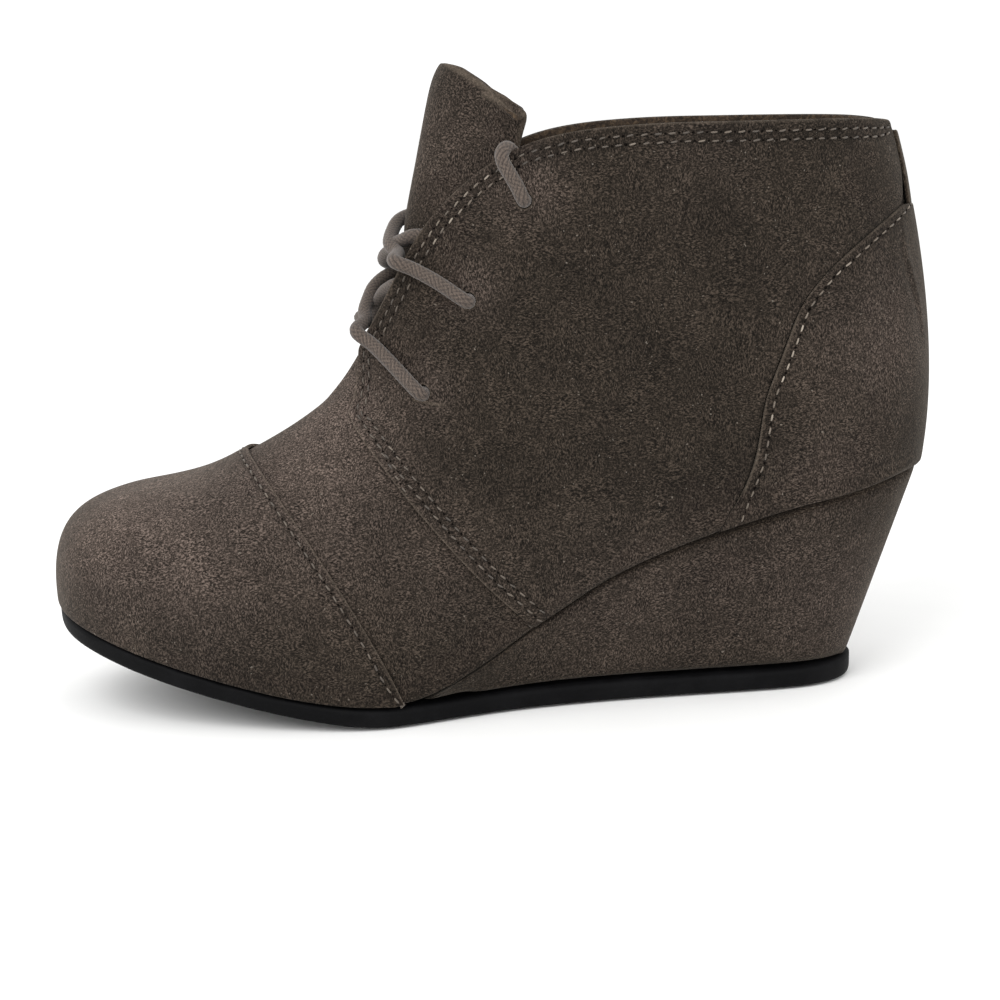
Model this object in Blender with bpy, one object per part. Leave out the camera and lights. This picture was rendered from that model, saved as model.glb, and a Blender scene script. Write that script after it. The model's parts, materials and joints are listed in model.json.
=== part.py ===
# Wedge ankle boot, left shoe, built from the pieces that a maker puts together.
# Metres, +Z up. The toe points to -X and the outer (lateral) side to -Y; the boot stands on its outsole.
import math

import bmesh
import bpy
import numpy as np
from mathutils import Matrix, Vector
from mathutils.bvhtree import BVHTree

MM = 0.001

# Last
LENGTH = 255.4 * MM
BALL_WIDTH = 88.0 * MM
HEEL_SEAT_WIDTH = 58.0 * MM
HEEL_HEIGHT = 63.0 * MM
TOE_SPRING = 24.5 * MM
INSTEP_HEIGHT = 97.0 * MM
COLLAR_HEIGHT = 162.0 * MM
COLLAR_WIDTH = 60.0 * MM

# Upper
UPPER_WALL = 1.6 * MM
OVERLAY_WALL = 1.1 * MM
COUNTER_WALL = 1.6 * MM
FIT_GAP = 0.3 * MM
OVERLAY_GAP = 0.4 * MM
EYELET_DIAMETER = 4.6 * MM
EYELET_SIDES = 12
BACK_STRIP_WIDTH = 17.0 * MM

# Sole
OUTSOLE_THICKNESS = 6.2 * MM
OUTSOLE_EDGE_ROUND = 1.4 * MM
OUTSOLE_LIP = 1.2 * MM
SPRING_START = 97.0 * MM
SPRING_POWER = 1.4
WEDGE_COVER = 0.8 * MM
INSOLE_THICKNESS = 3.0 * MM

# Tongue and lace
TONGUE_WALL = 2.4 * MM
TONGUE_CURVE = 2.4
TONGUE_GAP = 0.6 * MM
LACE_DIAMETER = 3.8 * MM

# One row for each section of the last, from the toe's middle to the heel's middle.
# foot_x and top_x are shares of LENGTH; outer and inner are the half widths at the feather edge, as shares
# of half the ball width before the waist and of half the heel seat width behind it;
# foot_z is the height of the feather edge above the outsole, as a share of what the wedge adds at the heel.
FEATHER_COLUMNS = ("foot_x", "outer", "inner", "foot_z")
FOREPART_FEATHER = (
    (0.008, -0.114, 0.114, 0.0),
    (0.026, 0.300, 0.480, 0.0),
    (0.067, 0.570, 0.675, 0.0),
    (0.129, 0.770, 0.805, 0.0),
    (0.215, 0.912, 0.892, 0.0),
    (0.313, 1.000, 0.920, 0.0),
    (0.407, 0.977, 0.864, 0.004),
    (0.478, 0.864, 0.773, 0.128),
    (0.548, 0.761, 0.693, 0.330),
)
REARPART_FEATHER = (
    (0.587, 1.097, 1.007, 0.437),
    (0.626, 1.059, 0.976, 0.543),
    (0.666, 1.034, 0.966, 0.626),
    (0.709, 1.024, 0.966, 0.702),
    (0.760, 1.010, 0.966, 0.776),
    (0.822, 0.993, 0.955, 0.852),
    (0.881, 0.931, 0.897, 0.914),
    (0.932, 0.741, 0.724, 0.963),
    (0.971, 0.431, 0.421, 0.993),
    (0.989, 0.000, 0.000, 1.000),
)

# The line where each section ends on top. On the forepart that is the ridge of the vamp, top_z being a share
# of INSTEP_HEIGHT. Behind it the section ends at the throat and the collar, top_z being the share of the way
# from INSTEP_HEIGHT to COLLAR_HEIGHT, and gap the half width as a share of half the collar width.
TOP_COLUMNS = ("top_x", "gap", "top_z")
FOREPART_TOP = (
    (0.168, 0.0, 0.665),
    (0.168, 0.0, 0.665),
    (0.168, 0.0, 0.665),
    (0.178, 0.0, 0.673),
    (0.193, 0.0, 0.689),
    (0.212, 0.0, 0.712),
    (0.234, 0.0, 0.745),
    (0.280, 0.0, 0.810),
    (0.331, 0.0, 0.905),
)
REARPART_TOP = (
    (0.359, 0.150, 0.000),
    (0.382, 0.365, 0.148),
    (0.411, 0.517, 0.360),
    (0.457, 0.667, 0.655),
    (0.550, 0.840, 0.930),
    (0.666, 0.975, 0.995),
    (0.775, 1.000, 0.995),
    (0.866, 0.860, 0.990),
    (0.930, 0.520, 0.982),
    (0.957, 0.000, 0.955),
)

# How each section bends between its ends, as the two handles of a cubic curve. Lean is a share of the
# section's run along X, up and drop of its rise, spread of its run along Y, and out a share of BALL_WIDTH.
BEND_COLUMNS = ("low_lean", "low_up", "low_out", "top_lean", "top_spread", "top_drop")
BENDS = (
    (0.04, 0.84, 0.035, 0.72, 0.72, 0.170),
    (0.04, 0.80, 0.035, 0.72, 0.72, 0.140),
    (0.04, 0.74, 0.035, 0.72, 0.72, 0.100),
    (0.03, 0.66, 0.035, 0.60, 0.74, 0.050),
    (0.05, 0.58, 0.035, 0.10, 0.76, 0.010),
    (0.14, 0.50, 0.035, 0.10, 0.76, 0.000),
    (0.24, 0.42, 0.035, 0.12, 0.76, 0.000),
    (0.28, 0.38, 0.045, 0.14, 0.78, 0.000),
    (0.30, 0.36, 0.050, 0.14, 0.80, 0.020),
    (0.30, 0.35, 0.050, 0.16, 0.78, 0.060),
    (0.30, 0.34, 0.048, 0.20, 0.74, 0.110),
    (0.30, 0.34, 0.045, 0.22, 0.70, 0.160),
    (0.30, 0.33, 0.042, 0.24, 0.64, 0.220),
    (0.30, 0.33, 0.040, 0.28, 0.50, 0.300),
    (0.30, 0.32, 0.038, 0.32, 0.40, 0.330),
    (0.26, 0.30, 0.040, 0.40, 0.40, 0.340),
    (0.16, 0.28, 0.050, 0.60, 0.50, 0.340),
    (0.06, 0.27, 0.058, 0.90, 0.60, 0.340),
    (0.00, 0.27, 0.060, 1.15, 0.00, 0.340),
)

# Outline of the outsole, as shares of LENGTH and of half the ball width.
SOLE_COLUMNS = ("x", "outer", "inner")
SOLE_OUTLINE = (
    (0.006, -0.114, 0.114),
    (0.023, 0.312, 0.492),
    (0.064, 0.584, 0.689),
    (0.126, 0.786, 0.821),
    (0.213, 0.927, 0.906),
    (0.311, 1.015, 0.932),
    (0.380, 1.018, 0.900),
    (0.430, 0.925, 0.830),
    (0.480, 0.805, 0.730),
    (0.530, 0.705, 0.650),
    (0.590, 0.625, 0.590),
    (0.660, 0.560, 0.540),
    (0.740, 0.510, 0.500),
    (0.815, 0.465, 0.460),
    (0.868, 0.395, 0.390),
    (0.903, 0.235, 0.232),
    (0.915, 0.000, 0.000),
)

# Where the wedge's sides land on the outsole: the row of its outline under each station of the last.
WEDGE_START = 6.4
WEDGE_COLUMNS = ("station", "sole_row")
WEDGE_SEATS = (
    (6.40, 6.95),
    (8.00, 9.05),
    (10.00, 10.10),
    (12.00, 11.10),
    (14.00, 12.35),
    (15.00, 13.05),
    (16.00, 13.95),
    (17.00, 15.00),
    (18.00, 16.00),
)

# Steps of the faces along the sole, the tongue and the lace.
SOLE_STEPS_PER_ROW = 2
WEDGE_STEPS = 22
WEDGE_LAYERS = 3
INSOLE_STEPS = 30
TONGUE_ROWS = 13
TONGUE_COLUMNS_ACROSS = 10
CROSSING_STEPS = 13
LACE_END_STEPS = 16
LACE_ROUNDING = 2

# Columns and rows of faces that the upper and the pieces on it share.
COLUMNS_PER_STATION = 2
SHARE_ROWS = 13
COUNTER_TOP_ROW = 10
SHARES = sorted([n / SHARE_ROWS for n in range(SHARE_ROWS + 1)] + [(COUNTER_TOP_ROW - 0.5) / SHARE_ROWS])

# Seams of the upper, in stations of the last; share is how far up the section the seam is.
RIDGE_END = 8.0
COLLAR_START = 13.0
TOE_CAP_SEAM = 6.0
QUARTER_COLUMNS = ("share", "station")
QUARTER_SEAM = (
    (0.00, 8.00),
    (0.20, 7.82),
    (0.40, 7.75),
    (0.60, 7.77),
    (0.75, 7.86),
    (0.86, 8.00),
)
COUNTER_COLUMNS = ("share", "station")
COUNTER_SEAM = (
    (0.00, 12.85),
    (0.08, 13.55),
    (0.15, 13.90),
    (0.30, 14.33),
    (0.42, 14.78),
    (0.55, 15.20),
    (0.65, 15.83),
    (0.72, 16.50),
    (0.77, 17.18),
)
COUNTER_TOP = COUNTER_TOP_ROW / SHARE_ROWS
BACK_STRIP_TOP = 0.97
QUARTER_TOP_COLUMNS = ("station", "share")
QUARTER_TOP = (
    (8.00, 0.82),
    (8.60, 0.87),
    (9.10, 0.94),
    (9.50, 1.00),
)
EYELET_COLUMNS = ("station", "share")
EYELETS = (
    (9.80, 0.69),
    (11.65, 0.75),
    (12.80, 0.87),
)

# Centre line and width of the tongue from its root to its top edge: shares of LENGTH, of the rise from
# INSTEP_HEIGHT to COLLAR_HEIGHT and of half COLLAR_WIDTH; back and drop say how far its edges lie behind
# and below its middle.
TONGUE_COLUMNS = ("x", "rise", "half", "back", "drop")
TONGUE = (
    (0.300, -0.298, 0.38, 0.15, 0.52),
    (0.333, -0.234, 0.42, 0.38, 0.56),
    (0.361, -0.112, 0.47, 0.50, 0.36),
    (0.387, 0.016, 0.55, 0.60, 0.20),
    (0.404, 0.162, 0.61, 0.80, 0.10),
    (0.412, 0.311, 0.65, 0.98, 0.05),
    (0.417, 0.462, 0.67, 1.16, 0.03),
    (0.421, 0.602, 0.66, 1.34, 0.02),
    (0.427, 0.706, 0.61, 1.46, 0.02),
    (0.434, 0.820, 0.60, 1.54, 0.02),
    (0.442, 0.974, 0.63, 1.50, 0.06),
    (0.450, 1.114, 0.70, 1.32, 0.23),
    (0.458, 1.232, 0.74, 1.12, 0.49),
    (0.468, 1.290, 0.72, 0.98, 0.65),
)

# The lace, all lifts in lace diameters. A strand leaves an eyelet, lies on its own quarter up to the throat
# and then crosses over the tongue to the other side; across is negative on the side that it starts from.
ON_QUARTER_COLUMNS = ("station", "share", "lift")
OVER_TONGUE_COLUMNS = ("row", "across", "lift")
LOWER_FRONT_STRAND = (
    ((9.80, 0.69, 0.62), (9.86, 0.80, 0.64), (9.93, 0.91, 0.70), (10.00, 1.00, 1.05)),
    ((3.90, -0.30, 2.30), (4.20, -0.16, 2.30), (4.55, 0.00, 2.15), (4.90, 0.16, 1.95), (5.20, 0.32, 1.55),
     (5.35, 0.48, 1.10)),
)
LOWER_BACK_STRAND = (
    ((9.80, 0.69, 0.62), (9.88, 0.81, 0.64), (9.98, 0.93, 0.80), (10.02, 1.00, 1.45)),
    ((3.85, -0.28, 1.75), (4.20, -0.13, 1.50), (4.50, 0.00, 1.35), (4.85, 0.16, 1.10), (5.05, 0.31, 1.00),
     (5.20, 0.46, 0.95)),
)
UPPER_FRONT_STRAND = (
    ((11.65, 0.75, 0.62), (11.53, 0.84, 0.64), (11.42, 0.93, 0.80), (11.35, 1.00, 1.25)),
    ((6.05, -0.45, 1.40), (6.30, -0.25, 1.32), (6.60, 0.00, 1.10), (6.90, 0.22, 0.95), (7.05, 0.42, 0.88),
     (7.20, 0.60, 0.80)),
)
UPPER_BACK_STRAND = (
    ((11.65, 0.75, 0.62), (11.50, 0.84, 0.64), (11.25, 0.94, 0.68), (11.10, 1.00, 0.95)),
    ((5.62, -0.34, 2.00), (5.85, -0.20, 1.45), (6.10, 0.00, 0.72), (6.30, 0.20, 0.66), (6.45, 0.38, 0.68),
     (6.60, 0.52, 0.70)),
)
# Each end of the lace, from the top eyelet over the edge of the quarter and back down inside it. Cross is
# 1 on the quarter's outside and 0 inside the upper; rise is the height above the place, in diameters.
LACE_END_COLUMNS = ("station", "share", "cross", "rise")
LACE_END = (
    (12.80, 0.870, 1.00, 0.00),
    (12.82, 0.905, 1.04, 0.00),
    (12.82, 0.940, 1.04, 0.00),
    (12.81, 0.975, 1.00, 0.00),
    (12.82, 1.000, 0.94, 0.38),
    (12.90, 1.000, 0.54, 0.88),
    (13.04, 1.000, 0.12, 0.45),
    (13.14, 0.975, -0.02, 0.00),
    (13.25, 0.945, -0.06, 0.00),
    (13.40, 0.915, -0.08, 0.00),
    (13.55, 0.885, -0.10, 0.00),
)

SUEDE = (0.085, 0.073, 0.062)
SUEDE_DARK = (0.075, 0.064, 0.055)
LACE_TAUPE = (0.150, 0.125, 0.112)
RUBBER_BLACK = (0.012, 0.012, 0.014)
LINING_BROWN = (0.170, 0.120, 0.085)
INSOLE_TAN = (0.210, 0.160, 0.120)


def clear_scene():
    for old in list(bpy.data.objects):
        bpy.data.objects.remove(old, do_unlink=True)


def finish_of(name, colour, roughness):
    material = bpy.data.materials.new(name)
    material.use_nodes = True
    shader = material.node_tree.nodes["Principled BSDF"]
    shader.inputs["Base Color"].default_value = (*colour, 1.0)
    shader.inputs["Roughness"].default_value = roughness
    shader.inputs["Metallic"].default_value = 0.0
    return material


def make_object(name, mesh_source, colour, roughness):
    mesh = bpy.data.meshes.new(name)
    mesh_source.to_mesh(mesh)
    mesh_source.free()
    mesh.shade_smooth()
    mesh.set_sharp_from_angle(angle=math.radians(45))
    piece = bpy.data.objects.new(name, mesh)
    bpy.context.scene.collection.objects.link(piece)
    mesh.materials.append(finish_of(name + "_finish", colour, roughness))
    return piece


def smooth_curve(knots, values, at, ring=0.0):
    """Value at a knot position on a smooth curve through the rows; ring is the period of a closed one."""
    knots = np.asarray(knots, float)
    values = np.asarray(values, float)
    if ring:
        at = at % ring
        knots = np.concatenate([[knots[-1] - ring], knots, [ring, ring + knots[1]]])
        values = np.concatenate([values[-1:], values, values[:2]])
    last = len(knots) - 1
    i = int(np.clip(np.searchsorted(knots, at, side="right") - 1, 0, last - 1))
    step = knots[i + 1] - knots[i]

    def slope(k):
        if k == 0:
            return (values[1] - values[0]) / (knots[1] - knots[0])
        if k == last:
            return (values[k] - values[k - 1]) / (knots[k] - knots[k - 1])
        before = knots[k] - knots[k - 1]
        after = knots[k + 1] - knots[k]
        lower = (values[k] - values[k - 1]) / before
        upper = (values[k + 1] - values[k]) / after
        return (lower * after + upper * before) / (before + after)

    f = (at - knots[i]) / step
    rise = values[i + 1] - values[i]
    m0 = slope(i) * step
    m1 = slope(i + 1) * step
    return values[i] + f * (m0 + f * ((3 * rise - 2 * m0 - m1) + f * (m0 + m1 - 2 * rise)))


def from_table(rows, at):
    """Second column of a two-column table at a value of the first, held at its ends."""
    first = [row[0] for row in rows]
    second = [row[1] for row in rows]
    return float(smooth_curve(first, second, min(max(at, first[0]), first[-1])))


def spring_height(x):
    """Height of the outsole's underside above the floor."""
    if x >= SPRING_START:
        return 0.0
    return TOE_SPRING * ((SPRING_START - x) / SPRING_START) ** SPRING_POWER


def spring_slope(x):
    """Slope of the outsole along X, which the feather edge follows."""
    step = 0.0001
    return (spring_height(x + step) - spring_height(x - step)) / (2 * step)


class Last:
    """The surface of the last, as sections that run from the feather edge to the ridge, throat or collar."""

    def __init__(self):
        self.middle = len(FOREPART_FEATHER) + len(REARPART_FEATHER) - 1
        outer_side = [self.section(k, -1) for k in range(self.middle + 1)]
        inner_side = [self.section(k, 1) for k in range(self.middle - 1, 0, -1)]
        self.rows = np.array(outer_side + inner_side)
        self.count = len(self.rows)
        self.set_handles()

    def section(self, k, side):
        seat = OUTSOLE_THICKNESS + FIT_GAP
        if k < len(FOREPART_FEATHER):
            foot_x, outer, inner, foot_z = FOREPART_FEATHER[k]
            top_x, gap, top_z = FOREPART_TOP[k]
            width = BALL_WIDTH / 2
            top = top_z * INSTEP_HEIGHT
        else:
            foot_x, outer, inner, foot_z = REARPART_FEATHER[k - len(FOREPART_FEATHER)]
            top_x, gap, top_z = REARPART_TOP[k - len(FOREPART_FEATHER)]
            width = HEEL_SEAT_WIDTH / 2
            top = INSTEP_HEIGHT + top_z * (COLLAR_HEIGHT - INSTEP_HEIGHT)
        x = foot_x * LENGTH
        y = -outer * width if side < 0 else inner * width
        z = spring_height(x) + seat + foot_z * (HEEL_HEIGHT - seat)
        foot = (x, y, z)
        head = (top_x * LENGTH, side * gap * COLLAR_WIDTH / 2, top)
        return (foot, foot, head, head)

    def side_row(self, i):
        return i if i <= self.middle else self.count - i

    def set_handles(self):
        for i in range(self.count):
            low_lean, low_up, low_out, top_lean, top_spread, top_drop = BENDS[self.side_row(i)]
            foot = self.rows[i, 0]
            head = self.rows[i, 3]
            run = head - foot
            along = self.rows[(i + 1) % self.count, 0] - self.rows[i - 1, 0]
            outward = np.array([along[1], -along[0], 0.0])
            outward /= np.linalg.norm(outward)
            out = outward * low_out * BALL_WIDTH
            self.rows[i, 1] = foot + out + (low_lean * run[0], 0.0, low_up * run[2])
            self.rows[i, 2] = head - (top_lean * run[0], top_spread * run[1], top_drop * run[2])

    def controls(self, station):
        knots = np.arange(self.count)
        found = smooth_curve(knots, self.rows, station, ring=float(self.count))
        if min(station % self.count, -station % self.count) <= RIDGE_END:
            found[3, 1] = 0.0
        return found

    def point(self, station, share):
        a, b, c, d = self.controls(station)
        r = 1.0 - share
        return a * r ** 3 + b * 3 * r * r * share + c * 3 * r * share * share + d * share ** 3

    def normal(self, station, share):
        share = min(max(share, 0.002), 0.992)
        step = 0.01
        across = self.point(station + step, share) - self.point(station - step, share)
        up = self.point(station, share + 0.004) - self.point(station, share - 0.004)
        n = np.cross(across, up)
        return n / np.linalg.norm(n)

    def edge_normal(self, station, share, place):
        """Normal that stays level along the feather edge and the collar, and in the middle of the ridge."""
        n = self.normal(station, share)
        if share == 1.0 and abs(place[1]) < 1e-6:
            n[1] = 0.0
        if share == 1.0 and COLLAR_START <= station % self.count <= self.count - COLLAR_START:
            n[2] = 0.0
        if share == 0.0:
            n[2] = n[0] * spring_slope(place[0])
        return n / np.linalg.norm(n)

    def outward(self, station):
        """Level direction out of the shoe at the feather edge."""
        along = self.point(station + 0.05, 0.0) - self.point(station - 0.05, 0.0)
        n = np.array([along[1], -along[0], 0.0])
        return n / np.linalg.norm(n)

    def spot(self, station, share, lift):
        return self.point(station, share) + lift * self.normal(station, share)

    def shifted(self, station, share, distance):
        """Station that lies a distance along the surface from another, at the same share."""
        step = 0.02
        length = np.linalg.norm(self.point(station + step, share) - self.point(station - step, share))
        return station + distance * 2 * step / length


def skin(grid, lifts, last, weld=1e-6):
    """Closed solid between two lifts of a grid of (station, share) places on the last."""
    keys = {}
    places = []
    normals = []
    index = []
    for row in grid:
        line = []
        for station, share in row:
            p = last.point(station, share)
            key = tuple(np.round(p / weld).astype(int))
            if key not in keys:
                keys[key] = len(places)
                places.append(p)
                normals.append(np.zeros(3))
            normals[keys[key]] += last.edge_normal(station, share, p)
            line.append(keys[key])
        index.append(line)
    return thick_sheet(places, normals, grid_faces(index), lifts)


def grid_faces(index):
    """Corner lists of the faces of a grid of vertex numbers, without those that a weld has closed up."""
    faces = []
    for i in range(len(index) - 1):
        for j in range(len(index[0]) - 1):
            loop = [index[i][j], index[i + 1][j], index[i + 1][j + 1], index[i][j + 1]]
            loop = [v for n, v in enumerate(loop) if v != loop[n - 1]]
            if len(set(loop)) > 2:
                faces.append(loop)
    return faces


def thick_sheet(places, normals, faces, lifts):
    """Closed solid from a sheet of faces, its two sides lifted along the normals."""
    mesh = bmesh.new()
    units = [n / np.linalg.norm(n) for n in normals]
    outside = [mesh.verts.new(p + u * lifts[1]) for p, u in zip(places, units)]
    inside = [mesh.verts.new(p + u * lifts[0]) for p, u in zip(places, units)]
    directed = set()
    for loop in faces:
        mesh.faces.new([outside[v] for v in loop])
        mesh.faces.new([inside[v] for v in reversed(loop)])
        directed.update((loop[n - 1], loop[n]) for n in range(len(loop)))
    for a, b in sorted(directed):
        if (b, a) not in directed:
            mesh.faces.new([outside[b], outside[a], inside[a], inside[b]])
    if mesh.calc_volume(signed=True) < 0:
        bmesh.ops.reverse_faces(mesh, faces=mesh.faces)
    return mesh


def steps(low, high, count):
    return [low + (high - low) * n / count for n in range(count + 1)]


def ladder(rims):
    """Closed solid from rims of the same rows, lowest first; a row is an (outer, inner) pair of points."""
    mesh = bmesh.new()
    stacks = []
    for rim in rims:
        rows = []
        for outer, inner in rim:
            a = mesh.verts.new(outer)
            b = a if abs(outer[1] - inner[1]) < 1e-7 else mesh.verts.new(inner)
            rows.append((a, b))
        stacks.append(rows)
    for k in range(len(stacks[0]) - 1):
        for rows in (stacks[0], stacks[-1]):
            loop = [rows[k][0], rows[k][1], rows[k + 1][1], rows[k + 1][0]]
            mesh.faces.new([v for n, v in enumerate(loop) if v is not loop[n - 1]])
        for low, high in zip(stacks, stacks[1:]):
            for side in range(2):
                mesh.faces.new([low[k][side], low[k + 1][side], high[k + 1][side], high[k][side]])
    for end in (0, -1):
        for low, high in zip(stacks, stacks[1:]):
            if low[end][0] is not low[end][1]:
                mesh.faces.new([low[end][0], low[end][1], high[end][1], high[end][0]])
    bmesh.ops.recalc_face_normals(mesh, faces=mesh.faces)
    return mesh


def sole_point(row, side, inset=0.0):
    """Place on the outline of the outsole in plan, moved inwards by the inset."""
    table = np.array(SOLE_OUTLINE)
    last_row = len(table) - 1

    def at(r):
        width = table[:, 1] * -1 if side < 0 else table[:, 2]
        opposite = table[:, 2] if side < 0 else table[:, 1] * -1
        x = np.concatenate([table[:, 0], table[-2:0:-1, 0]]) * LENGTH
        y = np.concatenate([width, opposite[-2:0:-1]]) * BALL_WIDTH / 2
        knots = np.arange(len(x))
        r = r % len(x)
        return smooth_curve(knots, np.stack([x, y], axis=1), r, ring=float(len(x)))

    place = at(row)
    along = at(row + 0.05) - at(row - 0.05)
    along /= np.linalg.norm(along)
    inward = np.array([-along[1], along[0]]) * side * -1
    place = place + inward * inset
    if row in (0, last_row):
        place[1] = at(row)[1]
    return place


def build_outsole():
    rows = steps(0.0, len(SOLE_OUTLINE) - 1, SOLE_STEPS_PER_ROW * (len(SOLE_OUTLINE) - 1))
    edge = OUTSOLE_EDGE_ROUND
    rims = []
    for inset, height in ((edge, 0.0), (edge * 0.2, edge * 0.7), (0.0, edge * 1.6), (0.0, OUTSOLE_THICKNESS)):
        rim = []
        for row in rows:
            pair = []
            for side in (-1, 1):
                x, y = sole_point(row, side, inset)
                pair.append((x, y, spring_height(x) + height))
            rim.append(pair)
        rims.append(rim)
    return make_object("outsole", ladder(rims), RUBBER_BLACK, 0.6)


def build_wedge(last):
    under = []
    over = []
    for station in steps(WEDGE_START, last.middle, WEDGE_STEPS):
        low = []
        high = []
        for side in (-1, 1):
            signed = -side * station
            foot = last.point(signed, 0.0) + last.outward(signed) * WEDGE_COVER
            foot[2] = last.point(signed, 0.0)[2] - FIT_GAP
            x, y = sole_point(from_table(WEDGE_SEATS, station), side, OUTSOLE_LIP)
            low.append((x, y, OUTSOLE_THICKNESS + FIT_GAP))
            high.append(tuple(foot))
        under.append(low)
        over.append(high)
    for rim in (under, over):
        middle = (rim[-1][0][1] + rim[-1][1][1]) / 2
        rim[-1] = [(p[0], middle, p[2]) for p in rim[-1]]
    rise = np.array(over) - np.array(under)
    rims = [np.array(under) + rise * share for share in steps(0.0, 1.0, WEDGE_LAYERS)]
    return make_object("wedge", ladder(rims), SUEDE, 0.9)


def build_insole(last):
    rims = []
    inset = UPPER_WALL + 2 * FIT_GAP
    for lift in (0.0, INSOLE_THICKNESS):
        rim = []
        for station in steps(0.0, last.middle, INSOLE_STEPS):
            pair = []
            for side in (-1, 1):
                signed = -side * station
                place = last.point(signed, 0.0) - last.outward(signed) * inset
                pair.append((place[0], place[1], place[2] + lift))
            rim.append(pair)
        for end in (0, -1):
            middle = (rim[end][0][1] + rim[end][1][1]) / 2
            rim[end] = [(p[0], middle, p[2]) for p in rim[end]]
        rims.append(rim)
    return make_object("insole", ladder(rims), INSOLE_TAN, 0.8)


def tongue_point(row, across, trim=0.0):
    """Place on the front of the tongue; across runs from -1 to 1, trim narrows it at each side."""
    x, rise, half, back, drop = smooth_curve(np.arange(len(TONGUE)), np.array(TONGUE), row)
    half_width = half * COLLAR_WIDTH / 2 - trim
    bend = half_width * abs(across) ** TONGUE_CURVE
    z = INSTEP_HEIGHT + rise * (COLLAR_HEIGHT - INSTEP_HEIGHT)
    return np.array([x * LENGTH + back * bend, half_width * across, z - drop * bend])


def tongue_normal(row, across):
    """Direction out of the front of the tongue."""
    step = 0.01
    near = min(max(row, step), len(TONGUE) - 1 - step)
    side = tongue_point(near, across + step) - tongue_point(near, across - step)
    up = tongue_point(near + step, across) - tongue_point(near - step, across)
    n = np.cross(up, side)
    return n / np.linalg.norm(n)


def tongue_trim(row, columns, upper_tree):
    """How much narrower the tongue is at a row, so that it keeps its gap to the inside of the upper."""
    trim = 0.0
    while trim < COLLAR_WIDTH / 4:
        places = [Vector(tongue_point(row, across, trim)) for across in columns]
        found = [upper_tree.find_nearest(place) for place in places]
        if min(hit[3] for hit in found) >= TONGUE_GAP:
            return trim
        trim += TONGUE_GAP / 4
    return trim


def build_tongue(upper):
    rows = steps(0.0, len(TONGUE) - 1, TONGUE_ROWS)
    columns = steps(-1.0, 1.0, TONGUE_COLUMNS_ACROSS)
    tree = BVHTree.FromObject(upper, bpy.context.evaluated_depsgraph_get())
    places = []
    normals = []
    index = []
    for row in rows:
        trim = tongue_trim(row, columns, tree)
        line = []
        for across in columns:
            line.append(len(places))
            places.append(tongue_point(row, across, trim))
            normals.append(tongue_normal(row, across))
        index.append(line)
    mesh = thick_sheet(places, normals, grid_faces(index), (-TONGUE_WALL, 0.0))
    return make_object("tongue", mesh, SUEDE, 0.9)


def band(low, high, shares):
    """Grid of (station, share) places between two edges, on the same columns and rows as the upper."""
    starts = [low(share) for share in shares]
    ends = [high(share) for share in shares]
    first = math.floor(min(starts) * COLUMNS_PER_STATION)
    final = math.ceil(max(ends) * COLUMNS_PER_STATION)
    columns = [n / COLUMNS_PER_STATION for n in range(first, final + 1)]
    return [
        [(min(max(column, start), end), share) for start, end, share in zip(starts, ends, shares)]
        for column in columns
    ]


def build_upper(last):
    grid = band(lambda share: 0.0, lambda share: last.count, SHARES)
    mesh = skin(grid, (-UPPER_WALL, 0.0), last)
    return make_object("upper", mesh, LINING_BROWN, 0.9)


def build_toe_cap(last):
    grid = band(lambda share: -TOE_CAP_SEAM, lambda share: TOE_CAP_SEAM, SHARES)
    mesh = skin(grid, (OVERLAY_GAP, OVERLAY_GAP + OVERLAY_WALL), last)
    return make_object("toe_cap", mesh, SUEDE_DARK, 0.9)


def quarter_end(last, share, side):
    """Station where a quarter ends: at the counter, and above the counter at the back strip."""
    if share > COUNTER_TOP + 1e-6:
        return last.shifted(side * last.middle, share, -side * (BACK_STRIP_WIDTH / 2 + FIT_GAP))
    return last.shifted(side * from_table(COUNTER_SEAM, share), share, -side * FIT_GAP)


def build_quarter(last, name, side):
    grid = band(
        lambda share: from_table(QUARTER_SEAM, share),
        lambda share: side * quarter_end(last, share, side),
        SHARES,
    )
    grid = [
        [(side * station, min(share, from_table(QUARTER_TOP, station))) for station, share in line]
        for line in grid
    ]
    mesh = skin(grid, (OVERLAY_GAP, OVERLAY_GAP + OVERLAY_WALL), last)
    return make_object(name, mesh, SUEDE, 0.9)


def build_counter(last):
    shares = [share for share in SHARES if share <= COUNTER_TOP + 1e-6]
    grid = band(
        lambda share: from_table(COUNTER_SEAM, share),
        lambda share: last.count - from_table(COUNTER_SEAM, share),
        shares,
    )
    mesh = skin(grid, (OVERLAY_GAP, OVERLAY_GAP + COUNTER_WALL), last)
    return make_object("counter", mesh, SUEDE, 0.9)


def build_back_strip(last):
    middle = float(last.middle)
    start = COUNTER_TOP + 4 * FIT_GAP / COLLAR_HEIGHT
    shares = [start] + [share for share in SHARES if COUNTER_TOP + 1e-6 < share < BACK_STRIP_TOP]
    shares.append(BACK_STRIP_TOP)
    grid = band(
        lambda share: last.shifted(middle, share, -BACK_STRIP_WIDTH / 2),
        lambda share: last.shifted(middle, share, BACK_STRIP_WIDTH / 2),
        shares,
    )
    mesh = skin(grid, (OVERLAY_GAP, OVERLAY_GAP + OVERLAY_WALL), last)
    return make_object("back_strip", mesh, SUEDE, 0.9)


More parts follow.
